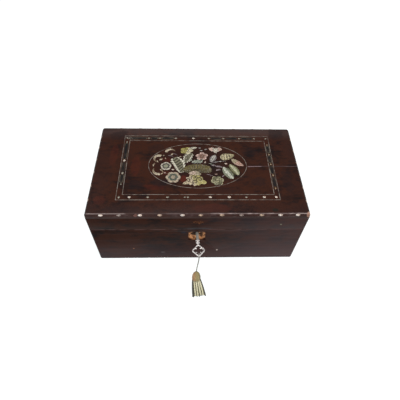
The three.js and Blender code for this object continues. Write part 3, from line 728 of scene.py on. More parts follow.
cut(front, seat("keyhole_slot", 1.3, (-1, 5), (KEYHOLE.z - 8.5, KEYHOLE.z)))
cut(front, seat("lock_mortise", 19.3, (3.7, 11), (59.3, 82)))
cut(front, seat("lock_flange_seat", 23.3, (8.5, 11), (59.3, 82)))
cut(front, seat("lock_plate_seat", 23.3, (3.7, 11), (79.8, 82)))
cut(walls["lid_front"], seat("catch_seat", 20.3, (3.7, 9.7), (81, 83.2)))
front_nicks = along_arris(32, 12, (-146, FRONT, BASE_TOP), (146, FRONT, BASE_TOP)) + [(30, FRONT, 24)]
cut(front, nicks(31, front_nicks, 0.55), crossing=True)
lid_nicks = along_arris(34, 10, (-146, FRONT, LID_LOW), (146, FRONT, LID_LOW))
cut(walls["lid_front"], nicks(33, lid_nicks, 0.5), crossing=True)
for board in walls.values():
    soften(board, 0.3, 2, 40)
    smooth(board, 30)

# The bottom is rebated round its edge, so that its middle stands up between the walls.
bottom = prism("bottom_board", rounded_rectangle(WIDTH / 2, DEPTH / 2, CORNER_RADIUS), 0, BOTTOM_THICK)
half_x, half_y = WIDTH / 2 - WALL - FLOOR_GAP, DEPTH / 2 - WALL - FLOOR_GAP
floor = block("floor", (-half_x, -half_y, BOTTOM_THICK - 1), (half_x, half_y, FLOOR_TOP))
cut(bottom, floor, "UNION")
foot_nicks = along_arris(36, 9, (-148, FRONT, 0), (148, FRONT, 0))
foot_nicks += along_arris(37, 6, (-148, BACK, 0), (148, BACK, 0))
cut(bottom, nicks(35, foot_nicks, 0.8), crossing=True)
soften(bottom, 0.5, 2, 40)
smooth(bottom, 30)

# ---------------------------------------------------------------------------------------------
# Lid top: one wide board with a rounded front, end and back arris, inlaid, and split along the
# grain from the oval to its right end. A corner is out of it at the front right.
TOP_ROUND = 3.4
EDGE_SHELL_PLACES = (-128, -104.4, -77, -51, -21, 3, 31, 57, 84, 109, 132.4)
top = prism("lid_top_board", rounded_rectangle(WIDTH / 2, DEPTH / 2, 3.9, 7), TOP_UNDERSIDE, HEIGHT)
pick(top)
bpy.ops.object.mode_set(mode="EDIT")
bpy.ops.mesh.select_all(action="DESELECT")
bpy.ops.object.mode_set(mode="OBJECT")
for edge in top.data.edges:
    edge.select = all(top.data.vertices[n].co.z > (HEIGHT - 0.1) * MM for n in edge.vertices)
bpy.ops.object.mode_set(mode="EDIT")
bpy.ops.mesh.bevel(offset=TOP_ROUND * MM, segments=5, profile=0.36, affect="EDGES", clamp_overlap=False)
bpy.ops.object.mode_set(mode="OBJECT")

OUTER_LINE = (-111.6, 112.4, -60.6, 66.4)
INNER_LINE = (-103.4, 105.4, -51.4, 55.4)
OVAL_CENTRE, OVAL_HALF = (0.5, 4.2), (71.9, 44.2)
LINE_WIDTH = 0.8
INLAY_DEPTH = 1.0


def oval(grow):
    return [(OVAL_CENTRE[0] + (OVAL_HALF[0] + grow) * math.cos(a),
             OVAL_CENTRE[1] + (OVAL_HALF[1] + grow) * math.sin(a))
            for a in (math.tau * n / 160 for n in range(160))]


def rectangle(sides, grow):
    left, right, front_y, back_y = sides
    return [(left - grow, front_y - grow), (right + grow, front_y - grow), (right + grow, back_y + grow),
            (left - grow, back_y + grow)]


def hoop(name, outline, half, low, high):
    """A flat ring between two copies of an outline, one larger and one smaller."""
    outer, inner = outline(half), outline(-half)
    piece = prism(name, outer, low, high)
    return cut(piece, prism("inner", inner, low - 1, high + 1))


def line_hoops(ease, low, high):
    half = LINE_WIDTH / 2 + ease
    return [hoop("stringing_outer_line", lambda g: rectangle(OUTER_LINE, g), half, low, high),
            hoop("stringing_inner_line", lambda g: rectangle(INNER_LINE, g), half, low, high),
            hoop("stringing_oval_line", oval, half, low, high)]


pockets = line_hoops(0.06, HEIGHT - INLAY_DEPTH, HEIGHT + 1)
cut(top, join("line_grooves", pockets))
rng = random.Random(41)
CRACK_START, CRACK_LENGTH = 73.4, 77.6
crack_line = [(CRACK_START + CRACK_LENGTH * n / 26, 1 + rng.uniform(-0.22, 0.22) - 0.5 * math.sin(n * 0.35))
              for n in range(27)]
crack_sides = []
for n, (x, y) in enumerate(crack_line):
    half = 0.12 + 0.26 * min(1, n / 5)
    crack_sides.append((x, y - half, y + half))
crack_outline = [(x, low) for x, low, high in crack_sides]
crack_outline += [(x, high) for x, low, high in reversed(crack_sides)]
cut(top, prism("crack", crack_outline, HEIGHT - 1.4, HEIGHT + 1))
corner = block("corner", (-3.2, -3.2, -3.2), (3.2, 3.2, 3.2))
tilt = Vector((0.6, 0.5, -0.62)).rotation_difference(Vector((0, 0, 1)))
broken_corner = Vector((WIDTH / 2 + 0.2, FRONT - 0.2, HEIGHT - 0.3))
move(corner, lambda p: tilt @ p + broken_corner)
cut(top, corner)
front_nicks = along_arris(43, 30, (-147, -84.9, 114), (147, -84.9, 114), 0.9)
cut(top, nicks(42, front_nicks, 0.75), crossing=True)
broken_places = [(-83, -85.2, 114.2), (-84.6, -84.4, 114.6), (146, -85, 113.6), (143.5, -85.4, 113.8)]
cut(top, nicks(44, broken_places, 1.5), crossing=True)
end_nicks = along_arris(46, 9, (-149, -80, 114.2), (-149, 80, 114.2), 0.6)
end_nicks += along_arris(47, 9, (149, -80, 114.2), (149, 80, 114.2), 0.6)
cut(top, nicks(45, end_nicks, 0.7), crossing=True)

# ---------------------------------------------------------------------------------------------
# Polish: a dark stain and shellac over the rosewood, mottled dark and red, dulled by handling,
# with fine open pores along the grain.
DARK_WOOD = colour(40, 25, 24)
RED_WOOD = colour(86, 44, 27)


def patch(finish, centre, radii, ragged=0.35, size=3.0):
    """1 within an uneven patch round a place in mm, and 0 away from it."""
    shift = [-c * MM for c in centre]
    near = finish.node("ShaderNodeVectorMath", {"operation": "ADD"}, {0: finish.place, 1: shift})
    near = finish.node("ShaderNodeVectorMath", {"operation": "DIVIDE"}, {0: near, 1: [r * MM for r in radii]})
    far = finish.node("ShaderNodeVectorMath", {"operation": "LENGTH"}, {0: near}, 1)
    return (far + (finish.noise(size, detail=4) - 0.5) * ragged * 2).ease(1.1, 0.8)


def polished_wood(name, grain, lightness=1.0, redness=0.5, roughness=0.4, shine=0.18):
    """grain is 0 where the grain runs along X and 1 where it runs along Y."""
    finish = Finish(name, roughness, Specular_IOR_Level=shine)
    fine = (0.06, 1, 1) if grain == 0 else (1, 0.06, 1)
    broad = (0.6, 1, 1) if grain == 0 else (1, 0.6, 1)
    middling = (0.22, 1, 1) if grain == 0 else (1, 0.22, 1)
    clouds = finish.noise(26, broad, 4, 0.6, 0.4)
    blots = finish.noise(9, broad, 4, 0.65, 0.5, (0.3, 0.1, 0.2))
    pores = finish.noise(0.55, fine, 3, 0.6)
    figure = finish.noise(3.2, middling, 3, 0.55)
    red = (clouds * 0.55 + blots * 0.35 + figure * 0.2 - (0.55 - redness * 0.1)).ease(-0.08, 0.1)
    dark, light = ([c * lightness for c in wood[:3]] + [1] for wood in (DARK_WOOD, RED_WOOD))
    tone = finish.mix(red, dark, light)
    tone = finish.mix(pores.ease(0.56, 0.7) * 0.4, tone, colour(24, 15, 14))
    finish.clouds = clouds
    finish.feed("Roughness", roughness + 0.22 * (blots - 0.5) + 0.1 * pores)
    finish.bump(pores * 0.5 + figure * 0.5, 0.05)
    finish.tone = tone
    return finish


front_wood = polished_wood("front_wood", 0, 0.34, 0.35, 0.5, 0.05)
streaks = front_wood.noise(5, (0.05, 1, 1), 3)
# Paler pinkish grey towards the bottom of the front: partly dust and partly a painted reflection of the
# bright table. It is also paler towards the right, with streaks in the polish.
low_dust_and_reflection = front_wood.along(2).ease(0.062, 0.0)
paler_towards_right = front_wood.along(0).ease(-0.03, 0.12)
lightening = low_dust_and_reflection * 0.3 + streaks.ease(0.5, 0.75) * 0.1 + paler_towards_right * 0.26
tone = front_wood.mix(lightening, front_wood.tone, colour(94, 76, 78))
seam = patch(front_wood, (1, FRONT, 83.6), (20, 4, 2.2), 0.3, 5)
tone = front_wood.mix(seam * 0.5, tone, colour(62, 62, 66))
scuff = patch(front_wood, (0.5, FRONT, 99), (8.5, 4, 3.6), 0.6)
scuff = scuff * front_wood.noise(2.4, detail=3).ease(0.42, 0.62) * 0.55
tone = front_wood.mix(scuff, tone, colour(128, 76, 42))
sunk = patch(front_wood, (RECESS_CENTRE[0], FRONT + 1.4, RECESS_CENTRE[1]), (14, 9, 12.5), 0)
sunk = front_wood.along(1).ease((FRONT + 0.2) * MM, (FRONT + 0.7) * MM) * sunk
bare = front_wood.noise(3.2, (1, 1, 0.5), 4, 0.6)
raw = front_wood.mix(bare.ease(0.3, 0.56), colour(92, 54, 30), colour(198, 140, 96))
# Two darker patches in the recess, round the keyhole and below it to the right: painted shade of the dark
# keyhole opening round the key.
keyhole_shade = patch(front_wood, (-3.4, -84.9, 69.5), (6.4, 6, 6), 0.5)
raw = front_wood.mix(keyhole_shade * 0.95, raw, colour(28, 18, 13))
keyhole_shade = patch(front_wood, (4.6, -84.9, 67), (2.6, 6, 7), 0.5)
raw = front_wood.mix(keyhole_shade * 0.9, raw, colour(40, 24, 15))
tone = front_wood.mix(sunk, tone, raw)
for place, radii, paint in (((30, FRONT, 24), (1.3, 3, 1.5), colour(214, 196, 184)),
                            ((-95, FRONT, 29.5), (1.3, 3, 1.1), colour(150, 96, 70)),
                            ((113.6, FRONT, 93.5), (1.4, 3, 1.3), colour(120, 116, 96)),
                            ((-52, FRONT, 18), (3.5, 3, 1.4), colour(92, 84, 84)),
                            ((-20, FRONT, 74), (4, 3, 2.6), colour(34, 30, 38))):
    tone = front_wood.mix(patch(front_wood, place, radii, 0.3, 1.5) * 0.85, tone, paint)
# A paler line along the seam: painted highlight on the rounded arrises there, together with wear.
rim = abs(front_wood.along(2) - HINGE_AXIS.z * MM).ease(0.0014, 0.0004)
rim = rim * front_wood.noise(12, detail=3).ease(0.35, 0.6)
tone = front_wood.mix(rim * 0.5, tone, colour(112, 80, 76))
front_wood.feed("Base Color", tone)

side_wood = polished_wood("side_wood", 1, 0.55, 0.4)
side_wood.feed("Base Color", side_wood.tone)
back_wood = polished_wood("back_wood", 0, 0.55, 0.3, 0.5)
back_wood.feed("Base Color", back_wood.tone)
under_wood = polished_wood("under_wood", 0, 1.5, 0.9, 0.65)
under_wood.feed("Base Color", under_wood.tone)

# The top: darker where it was often held and under the picture, painted paler grey towards the back as a
# reflection, and pale along its arrises, partly worn and partly a painted highlight.
top_wood = polished_wood("top_wood", 0, 0.46, 0.75, 0.4, 0.14)
x, y, z = top_wood.along(0), top_wood.along(1), top_wood.along(2)
flecks = top_wood.noise(2.6, (0.7, 1, 1), 4, 0.7)
tone = top_wood.mix(flecks.ease(0.5, 0.66) * 0.5, top_wood.tone, colour(28, 19, 19))
crackle = top_wood.noise(0.9, (0.6, 1, 1), 3, 0.7) * y.ease(0.0, -0.08)
tone = top_wood.mix(crackle.ease(0.46, 0.62) * 0.22, tone, colour(96, 60, 50))
# Paler grey towards the back of the top: a painted reflection, as the back is seen at a lower angle.
tone = top_wood.mix(y.ease(0.055, 0.08) * (0.2 + 0.3 * flecks), tone, colour(96, 82, 80))
picture_ground = patch(top_wood, (*OVAL_CENTRE, HEIGHT), (66, 40, 9), 0.12, 12)
tone = top_wood.mix(picture_ground * 0.45, tone, colour(34, 20, 19))
DARK_STAIN, RED_STAIN = colour(32, 22, 23), colour(84, 32, 20)
# Stains on the top: place, reach along X and Y in mm, and strength.
for stain_tone, stains in (
        (RED_STAIN, ((-20, -23, 5, 6, 0.8), (-47, -12, 8, 4, 0.35), (-43, 14, 9, 5, 0.4),
                     (-90, 2, 7, 20, 0.28), (-124, 24, 6, 24, 0.28), (-133, -62, 9, 8, 0.3),
                     (-60, -38, 16, 5, 0.35), (20, -75, 28, 7, 0.35))),
        (DARK_STAIN, ((-52, -30, 16, 7, 0.6), (-88, -34, 12, 9, 0.5), (-120, 66, 16, 12, 0.5),
                      (126, 70, 14, 12, 0.5), (128, -30, 9, 24, 0.4), (86, -28, 11, 9, 0.4),
                      (80, 30, 12, 9, 0.35), (34, -44, 26, 5, 0.3), (-62, 40, 14, 8, 0.35),
                      (-100, -76, 26, 6, 0.45)))):
    for stain_x, stain_y, reach_x, reach_y, strength in stains:
        stain = patch(top_wood, (stain_x, stain_y, HEIGHT), (reach_x, reach_y, 3), 0.7, 8)
        tone = top_wood.mix(stain * strength, tone, stain_tone)
edge = abs(x).ease(0.108, 0.148) * 0.4 + abs(y).ease(0.07, 0.0864) * 0.35
tone = top_wood.mix(edge * top_wood.clouds.ease(0.3, 0.6), tone, DARK_WOOD)
across = y - FRONT * MM
tone = top_wood.mix(y.ease(-0.06, -0.072) * 0.25, tone, colour(34, 18, 17))
# Along the front arris: a paler band and a whitish line at its upper edge, strongest at the left. They are
# painted highlight where the rounded arris catches the light, together with worn polish.
front_arris = (across + (HEIGHT * MM - z)).ease(0.0052, 0.0036)
wear_and_glint = top_wood.noise(7, (0.5, 1, 1), 4, 0.65)
tone = top_wood.mix(front_arris * (0.1 + 0.4 * wear_and_glint.ease(0.48, 0.66)), tone, colour(92, 74, 73))
glint_and_wear_line = abs(across - 0.0030).ease(0.0009, 0.0003) * z.ease(0.1145, 0.1151)
left_wear_and_glint = x.ease(-0.094, -0.101) * 0.8 + 0.2
glint_and_wear_line = glint_and_wear_line * (wear_and_glint.ease(0.45, 0.58) * 0.6 + 0.4)
glint_and_wear_line = glint_and_wear_line * (left_wear_and_glint + x.ease(0.01, 0.03) * 0.4).ease(0, 1)
tone = top_wood.mix(glint_and_wear_line, tone, colour(176, 158, 154))
chip = patch(top_wood, (148.6, -84.8, 113.6), (4.6, 5, 5), 0.3, 2)
tone = top_wood.mix(chip, tone, top_wood.mix(wear_and_glint.ease(0.4, 0.6), colour(112, 78, 64), colour(172, 134, 118)))
chip = patch(top_wood, (-83, -85.2, 114), (2.6, 2, 2), 0.3, 2)
tone = top_wood.mix(chip * 0.8, tone, colour(120, 84, 76))
stain = patch(top_wood, (103, -78, HEIGHT), (4.5, 3.2, 3), 0.5, 3)
tone = top_wood.mix(stain * 0.8, tone, colour(30, 30, 24))
split = abs(y - 0.001 + 0.0005 * (x * 40).maths("SINE")).ease(0.0011, 0.0004)
split = split * x.ease(0.073, 0.075) * z.ease(0.1150, 0.1153)
bright = patch(top_wood, (84, 1, HEIGHT), (11, 3, 3), 0.2, 4) * 0.7 + 0.3
tone = top_wood.mix(split * bright * 0.8, tone, colour(150, 128, 132))
top_wood.feed("Base Color", tone)

FINISHES = {"front": front_wood, "right": side_wood, "left": side_wood, "back": back_wood}
for place, board in walls.items():
    part, side = place.split("_")
    dress(board, FINISHES[side])
    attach(board, part)
    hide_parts(place)
dress(bottom, front_wood)
bottom.data.materials.append(under_wood.material)
for face in bottom.data.polygons:
    face.material_index = int(abs(face.normal.z) > 0.9)
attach(bottom, "base")
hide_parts("base_bottom")

# ---------------------------------------------------------------------------------------------
# Picture: a basket of flowers in pieces of mother-of-pearl 1 mm thick, sawn to shape, let into the
# board, filed a little round at the edges and engraved. Dirt has filled the engraving.


def step(value, low, high):
    t = min(1, max(0, (value - low) / (high - low)))
    return t * t * (3 - 2 * t)


def leaf_shape(length, width, bow=0.0, fullness=0.8, teeth=0, tooth_depth=0.0, skew=1.0):
    def place(u, v):
        side = 2 * v - 1
        saw = 1 - (teeth * u) % 1
        uneven = 0.75 + 0.25 * math.sin(11 * u + 3 * (side > 0))
        tooth = tooth_depth * (saw * 1.6 - 0.4) * uneven * step(u * (1 - u), 0, 0.05)
        half = width / 2 * max(0, math.sin(math.pi * u ** skew)) ** fullness + tooth
        return length * (u - 0.5), side * half + bow * math.sin(math.pi * u)
    return place


def round_shape(radius_at, wide=1.0):
    def place(u, v):
        angle = u * math.tau
        return v * radius_at(angle) * math.cos(angle) * wide, v * radius_at(angle) * math.sin(angle)
    return place


def flower_shape(petals, radius, depth, wide=1.0):
    return round_shape(lambda a: radius * (1 - depth + depth * abs(math.cos(petals * a / 2)) ** 0.7), wide)


# Lobes of the leaf under the basket: direction in degrees, how far each stands out, how narrow it is.
LOBES = [(-14, 7.6, 24), (22, 4.4, 30), (58, 3.0, 30), (93, 3.4, 30), (128, 4.0, 30), (164, 5.4, 30),
         (203, 10.6, 30), (232, 3.4, 50), (268, 3.4, 24), (303, 3.8, 30), (331, 4.4, 44)]


def lobed_radius(angle):
    reach = sum(out * max(0, math.cos(angle - math.radians(way))) ** narrow for way, out, narrow in LOBES)
    return 8.0 + reach + 0.35 * math.cos(23 * angle)


def scroll_shape(radius, width, start, end):
    def place(u, v):
        angle = math.radians(start + (end - start) * u)
        half = width / 2 * (0.25 + 0.75 * math.sin(math.pi * min(1, 0.45 + u * 0.55)))
        reach = radius + (2 * v - 1) * half
        return reach * math.cos(angle), reach * math.sin(angle)
    return place


def paisley_shape(length, width, curl):
    def place(u, v):
        half = width * 0.75 * u ** 0.4 * (1 - u) ** 0.75
        return length * (u - 0.5), (2 * v - 1) * half + curl * u * u
    return place


def basket_shape(width, height):
    """A long hull with an arched rim above and a hollowed foot below."""
    def place(u, v):
        t = u * 0.998 + 0.001
        x = width / 2 * math.cos(math.pi * (1 - t))
        rim_y = height * 0.62 * math.sin(math.pi * t) ** 0.8
        s = math.sin(math.pi * min(1, max(0, 0.5 + x / width)))
        foot_y = height * (0.16 * s ** 2 - 0.38 * s ** 0.35)
        return x, foot_y + (rim_y - foot_y) * v
    return place


def groove(value, width):
    """1 on a line where value is near 0, fading at its sides."""
    return max(0.0, 1 - abs(value) / width)


def ribs(value, count, width=0.28):
    """Lines where value times count is a whole number."""
    return groove((value * count + 0.5) % 1 - 0.5, width)


# Each carving gives, at a place on its piece, how much of the second tint shows and how deep it is cut.
def carve_plain(u, v, x, y):
    return 0.5 + 0.5 * math.sin(x * 0.9 + y), 0.0


def carve_ringed(u, v, x, y):
    petals = ribs(u * 5 + 0.5, 1, 0.06) * step(v, 0.75, 0.85)
    veins = ribs(u * 15, 1, 0.2) * step(v, 0.8, 0.9) * 0.5
    return step(v, 0.5, 0.4), max(groove(v - 0.58, 0.2) * 2.4, petals, groove(v, 0.13), veins)


def carve_large(u, v, x, y):
    ring = step(v, 0.34, 0.4) * (1 - step(v, 0.62, 0.7))
    petals = ribs(u * 6 + 0.5, 1, 0.06) * step(v, 0.7, 0.8)
    circles = max(groove(v - 0.36, 0.07), 0.7 * groove(v - 0.68, 0.05), groove(v, 0.06))
    return max(ring, 0.3 * step(v, 0.34, 0.3)), max(circles, petals, 0.8 * ring * ribs(u * 30, 1, 0.3))


def carve_rose(u, v, x, y):
    swirl = (v * 2.2 + u * 2) % 1
    second = step(math.sin(u * math.tau * 2 + v * 6), -0.2, 0.5)
    return second, max(groove(swirl - 0.5, 0.24) * 1.3, groove(v, 0.14))


def carve_petals(u, v, x, y):
    veins = ribs(u * 15, 1, 0.32) * 1.3 * step(v, 0.35, 0.5)
    petals = ribs(u * 5 + 0.5, 1, 0.06) * step(v, 0.3, 0.5)
    return step(v, 0.72, 0.5), max(veins * 0.7, groove(v - 0.3, 0.08), petals)


def carve_leaf(u, v, x, y):
    side = 2 * v - 1
    veins = ribs(u - abs(side) * 0.12, 9, 0.2) * 0.8 * step(abs(side), 0.15, 0.3)
    return step(abs(side), 0.2, 0.9), max(groove(side, 0.14), veins)


def carve_toothed(u, v, x, y):
    side = 2 * v - 1
    rim = step(abs(side), 0.5, 0.72)
    return 1 - rim, max(ribs(u + side * 0.1, 7, 0.4) * 1.6 * (1 - rim), groove(abs(side) - 0.58, 0.08),
                        ribs(u, 7, 0.14) * rim)


def carve_lobed(u, v, x, y):
    notch = step(lobed_radius(u * math.tau), 10.4, 9.0) * step(v, 0.25, 0.5)
    curls = 0.0
    for cx, cy, size in ((-9.6, -1.5, 4.6), (-1.5, 4.6, 4.0), (6.6, 0.5, 4.8), (0.5, -4.0, 4.0),
                         (12, 1.5, 3.4)):
        reach = math.hypot(x - cx, y - cy) / size
        turn = math.atan2(y - cy, x - cx) / math.tau
        curls = max(curls, groove((reach - turn) % 1 - 0.5, 0.3) * step(reach, 1.2, 0.95) * 1.8)
    return step(x + 0.4 * y, -6, 2), max(curls, notch)


def carve_basket(u, v, x, y):
    flutes = groove((u * 17) % 1 - 0.5, 0.3) * step(v, 0.44, 0.52) * step(v, 0.92, 0.84)
    rims = max(groove(v - 0.4, 0.05), groove(v - 0.93, 0.04), groove(v - 0.14, 0.03))
    return step(v, 0.42, 0.3) * 0.7, max(flutes, rims, ribs(u, 40, 0.3) * 0.5 * step(v, 0.38, 0.3))


def carve_bud(u, v, x, y):
    folds = groove((y * 0.36 + 0.4 * math.sin(x * 0.6)) % 1 - 0.5, 0.24) * 1.5
    return step(x, -2, 4), folds * step(abs(x), 8.4, 7)


def carve_butterfly(u, v, x, y):
    veins = ribs(u * 18, 1, 0.2) * step(v, 0.4, 0.55) * 0.8
    return step(abs(y), 2.5, 6), max(veins, groove(y, 0.5) * step(x, 3, 0), groove(v - 0.45, 0.06))


def carve_paisley(u, v, x, y):
    side = 2 * v - 1
    dots = groove((u * 5.5) % 1 - 0.5, 0.36) * groove((abs(side) * 1.9) % 1 - 0.5, 0.42) * 3
    dots = min(1, dots * step(u, 0.85, 0.75))
    border = groove(abs(side) - 0.82, 0.07) * step(u, 0.9, 0.8)
    return u * 0.6, max(dots, border, groove(side, 0.12) * step(u, 0.3, 0.5))


def carve_yellow(u, v, x, y):
    veins = ribs(u * 20, 1, 0.2) * 0.7 * step(v, 0.3, 0.5)
    petals = ribs(u * 5 + 0.5, 1, 0.08) * step(v, 0.3, 0.6)
    return step(x - 0.4 * y, 0, 2.5), max(veins, groove(v - 0.34, 0.1), petals)


def carve_tip(u, v, x, y):
    side = 2 * v - 1
    return 1 - step(u, 0.3, 0.6), max(ribs(v, 6, 0.2) * 0.7, groove(side + 0.3, 0.12))


def carve_lines(u, v, x, y):
    ends = step(u, 0.05, 0.2) * step(u, 0.95, 0.8)
    lines = max(groove(v - 0.22, 0.06), groove(v - 0.76, 0.06), ribs(v, 11, 0.2) * 0.5)
    return step(abs(v - 0.5), 0.24, 0.32), lines * ends


def carve_scroll(u, v, x, y):
    side = 2 * v - 1
    return u, max(groove(side, 0.2) * 0.8, ribs(u, 9, 0.16) * step(abs(side), 0.3, 0.6) * 0.6)


def nacre(name, light, second, dirt=colour(40, 26, 18), shimmer=0.5):
    """Mother-of-pearl: pale tints that change from place to place, growth lines, dirt in the cuts."""
    finish = Finish(name, 0.28, Coat_Weight=0.25, Coat_Roughness=0.12, Specular_IOR_Level=0.4)
    clouds = finish.noise(3.2, detail=3, warp=1.2)
    growth = finish.noise(0.9, (1, 0.25, 1), 3, 0.6, 0.8)
    tint = (finish.attribute("zone") + (clouds - 0.5) * shimmer * 1.6).ease(0.1, 0.9)
    tone = finish.mix(tint, light, second)
    pearl = finish.noise(2.2, detail=2, warp=2.0, shift=(0.4, 0.2, 0.1))
    tone = finish.mix(pearl.ease(0.54, 0.7) * 0.5, tone, colour(238, 226, 214))
    tone = finish.mix(growth.ease(0.48, 0.66) * 0.5, tone, colour(92, 82, 58))
    grime = finish.noise(1.5, detail=4, rough=0.7, shift=(0.7, 0.3, 0.2))
    tone = finish.mix(grime.ease(0.47, 0.6) * 0.62, tone, dirt)
    tone = finish.mix(finish.attribute("engraved").ease(0.3, 0.75) * 0.9, tone, dirt)
    finish.feed("Base Color", tone)
    finish.feed("Roughness", 0.26 + 0.2 * growth + 0.3 * finish.attribute("engraved"))
    finish.bump(growth, 0.03)
    return finish


def inside(outline, x, y):
    """Whether a point is within an outline."""
    within = False
    for (ax, ay), (bx, by) in zip(outline, outline[1:] + outline[:1]):
        if (ay > y) != (by > y) and x < ax + (bx - ax) * (y - ay) / (by - ay):
            within = not within
    return within


def sawn_back(x, y, centre, neighbours):
    """Moves a point of a piece towards its middle until it is out of every neighbour's outline."""
    for outline, (low_x, high_x, low_y, high_y) in neighbours:
        if low_x < x < high_x and low_y < y < high_y and inside(outline, x, y):
            near, far = 0.0, 1.0
            for _ in range(12):
                middle = (near + far) / 2
                if inside(outline, x + (centre[0] - x) * middle, y + (centre[1] - y) * middle):
                    near = middle
                else:
                    far = middle
            x, y = x + (centre[0] - x) * far, y + (centre[1] - y) * far
    return x, y


def in_place(x, y, centre, turn):
    """A point of a piece, turned by an angle in degrees and moved to the middle of the piece."""
    angle = math.radians(turn)
    return (centre[0] + x * math.cos(angle) - y * math.sin(angle),
            centre[1] + x * math.sin(angle) + y * math.cos(angle))


SLAB_THICKNESS = INLAY_DEPTH - 0.16
CARVING_DEPTH = 0.14


def inlay(name, shape, carve, centre, turn=0.0, size=(64, 28), proud=0.28, closed=False, neighbours=()):
    """A slab of shell: its top is a grid pushed into shape and carved, thickened downwards."""
    marks = {}

    def place(u, v):
        x, y = shape(u, v)
        zone, cut_in = carve(u, v, x, y)
        edge = v if closed else abs(2 * v - 1)
        height = HEIGHT + proud * (1 - edge ** 5) - CARVING_DEPTH * min(1, cut_in) + 0.02
        marks[len(marks)] = (zone, min(1, cut_in))
        return *sawn_back(*in_place(x, y, centre, turn), centre, neighbours), height

    piece = mapped_grid(name, *size, place)
    for label, which in (("zone", 0), ("engraved", 1)):
        values = piece.data.attributes.new(label, "FLOAT", "POINT").data
        for n, value in marks.items():
            values[n].value = value[which]
    pick(piece)
    bpy.ops.object.mode_set(mode="EDIT")
    bpy.ops.mesh.select_all(action="SELECT")
    bpy.ops.mesh.remove_doubles(threshold=0.01 * MM)
    bpy.ops.mesh.dissolve_degenerate(threshold=0.004 * MM)
    bpy.ops.mesh.select_all(action="SELECT")
    bpy.ops.mesh.extrude_region_move(TRANSFORM_OT_translate={"value": (0, 0, -SLAB_THICKNESS * MM)})
    bpy.ops.object.mode_set(mode="OBJECT")
    face_outwards(piece)
    smooth(piece, 50)
    return piece


def rim_outline(shape, centre, turn, closed, grow, count=56):
    """The outline of a shape in its place, grown a little outwards."""
    if closed:
        points = [shape(n / count, 1) for n in range(count)]
    else:
        half = count // 2
        points = [shape(n / half, 0) for n in range(half)] + [shape(1 - n / half, 1) for n in range(half)]
    points = [Vector(in_place(x, y, centre, turn)) for x, y in points]
    tidy = [p for n, p in enumerate(points) if (p - points[n - 1]).length > 0.05]
    area = sum(a.x * b.y - b.x * a.y for a, b in zip(tidy, tidy[1:] + tidy[:1]))
    outline = []
    for n, point in enumerate(tidy):
        along = (tidy[(n + 1) % len(tidy)] - tidy[n - 1]).normalized()
        outwards = Vector((along.y, -along.x)) * (1 if area > 0 else -1)
        outline.append(tuple(point + outwards * grow))
    return outline


bud_shell = nacre("bud_shell", colour(214, 188, 168), colour(184, 170, 138), colour(54, 38, 26), 0.6)
grey_green = nacre("grey_green_shell", colour(230, 224, 202), colour(128, 124, 96), colour(46, 38, 26), 0.5)
ringed = nacre("ringed_shell", colour(214, 204, 186), colour(150, 148, 124), colour(24, 18, 16), 0.25)
ring_green = nacre("ring_green_shell", colour(184, 166, 142), colour(74, 88, 72), colour(34, 30, 24), 0.35)
lobed = nacre("lobed_shell", colour(202, 184, 152), colour(182, 170, 106), colour(48, 34, 20), 0.5)
olive = nacre("olive_shell", colour(106, 92, 40), colour(64, 54, 22), colour(34, 26, 14), 0.4)
yellow = nacre("yellow_shell", colour(166, 156, 76), colour(218, 208, 172), colour(66, 54, 30), 0.5)
pink = nacre("pink_shell", colour(222, 186, 172), colour(130, 90, 74), colour(70, 46, 36), 1.0)
teal = nacre("teal_shell", colour(176, 182, 162), colour(108, 116, 104), colour(48, 44, 38), 0.8)
butterfly_shell = nacre("butterfly_shell", colour(208, 200, 182), colour(218, 184, 168),
                        colour(86, 64, 50), 0.8)
lilac = nacre("lilac_shell", colour(190, 186, 174), colour(118, 110, 112), colour(46, 38, 38), 0.7)
drop = nacre("drop_shell", colour(206, 192, 152), colour(150, 138, 90), colour(52, 42, 26), 0.35)
rose = nacre("rose_shell", colour(172, 166, 128), colour(102, 100, 66), colour(44, 34, 24), 0.8)
leaf_pink = nacre("leaf_pink_shell", colour(190, 150, 132), colour(164, 150, 118), colour(84, 60, 46), 0.5)
fruit_green = nacre("fruit_green_shell", colour(198, 200, 182), colour(122, 128, 104),
                    colour(60, 60, 42), 0.45)
fruit_yellow = nacre("fruit_yellow_shell", colour(192, 190, 156), colour(116, 120, 74),
                     colour(60, 56, 34), 0.45)
fruit_dark = nacre("fruit_dark_shell", colour(92, 96, 50), colour(64, 70, 38), colour(40, 42, 26), 0.4)
tan = nacre("tan_shell", colour(214, 198, 170), colour(128, 104, 78), colour(54, 38, 28), 0.7)
purple = nacre("purple_shell", colour(140, 122, 126), colour(96, 80, 84), colour(44, 32, 34), 0.6)

def pocket_for(outline, depth=INLAY_DEPTH):
    """The cutter that sinks a piece of that outline into the top."""
    return prism("pocket", outline, HEIGHT - depth, HEIGHT + 1)


butterfly_shape = round_shape(
    lambda a: 11 * (0.44 + 0.4 * abs(math.sin(a)) ** 4 + 0.17 * math.cos(3 * a) + 0.04 * math.sin(9 * a)))
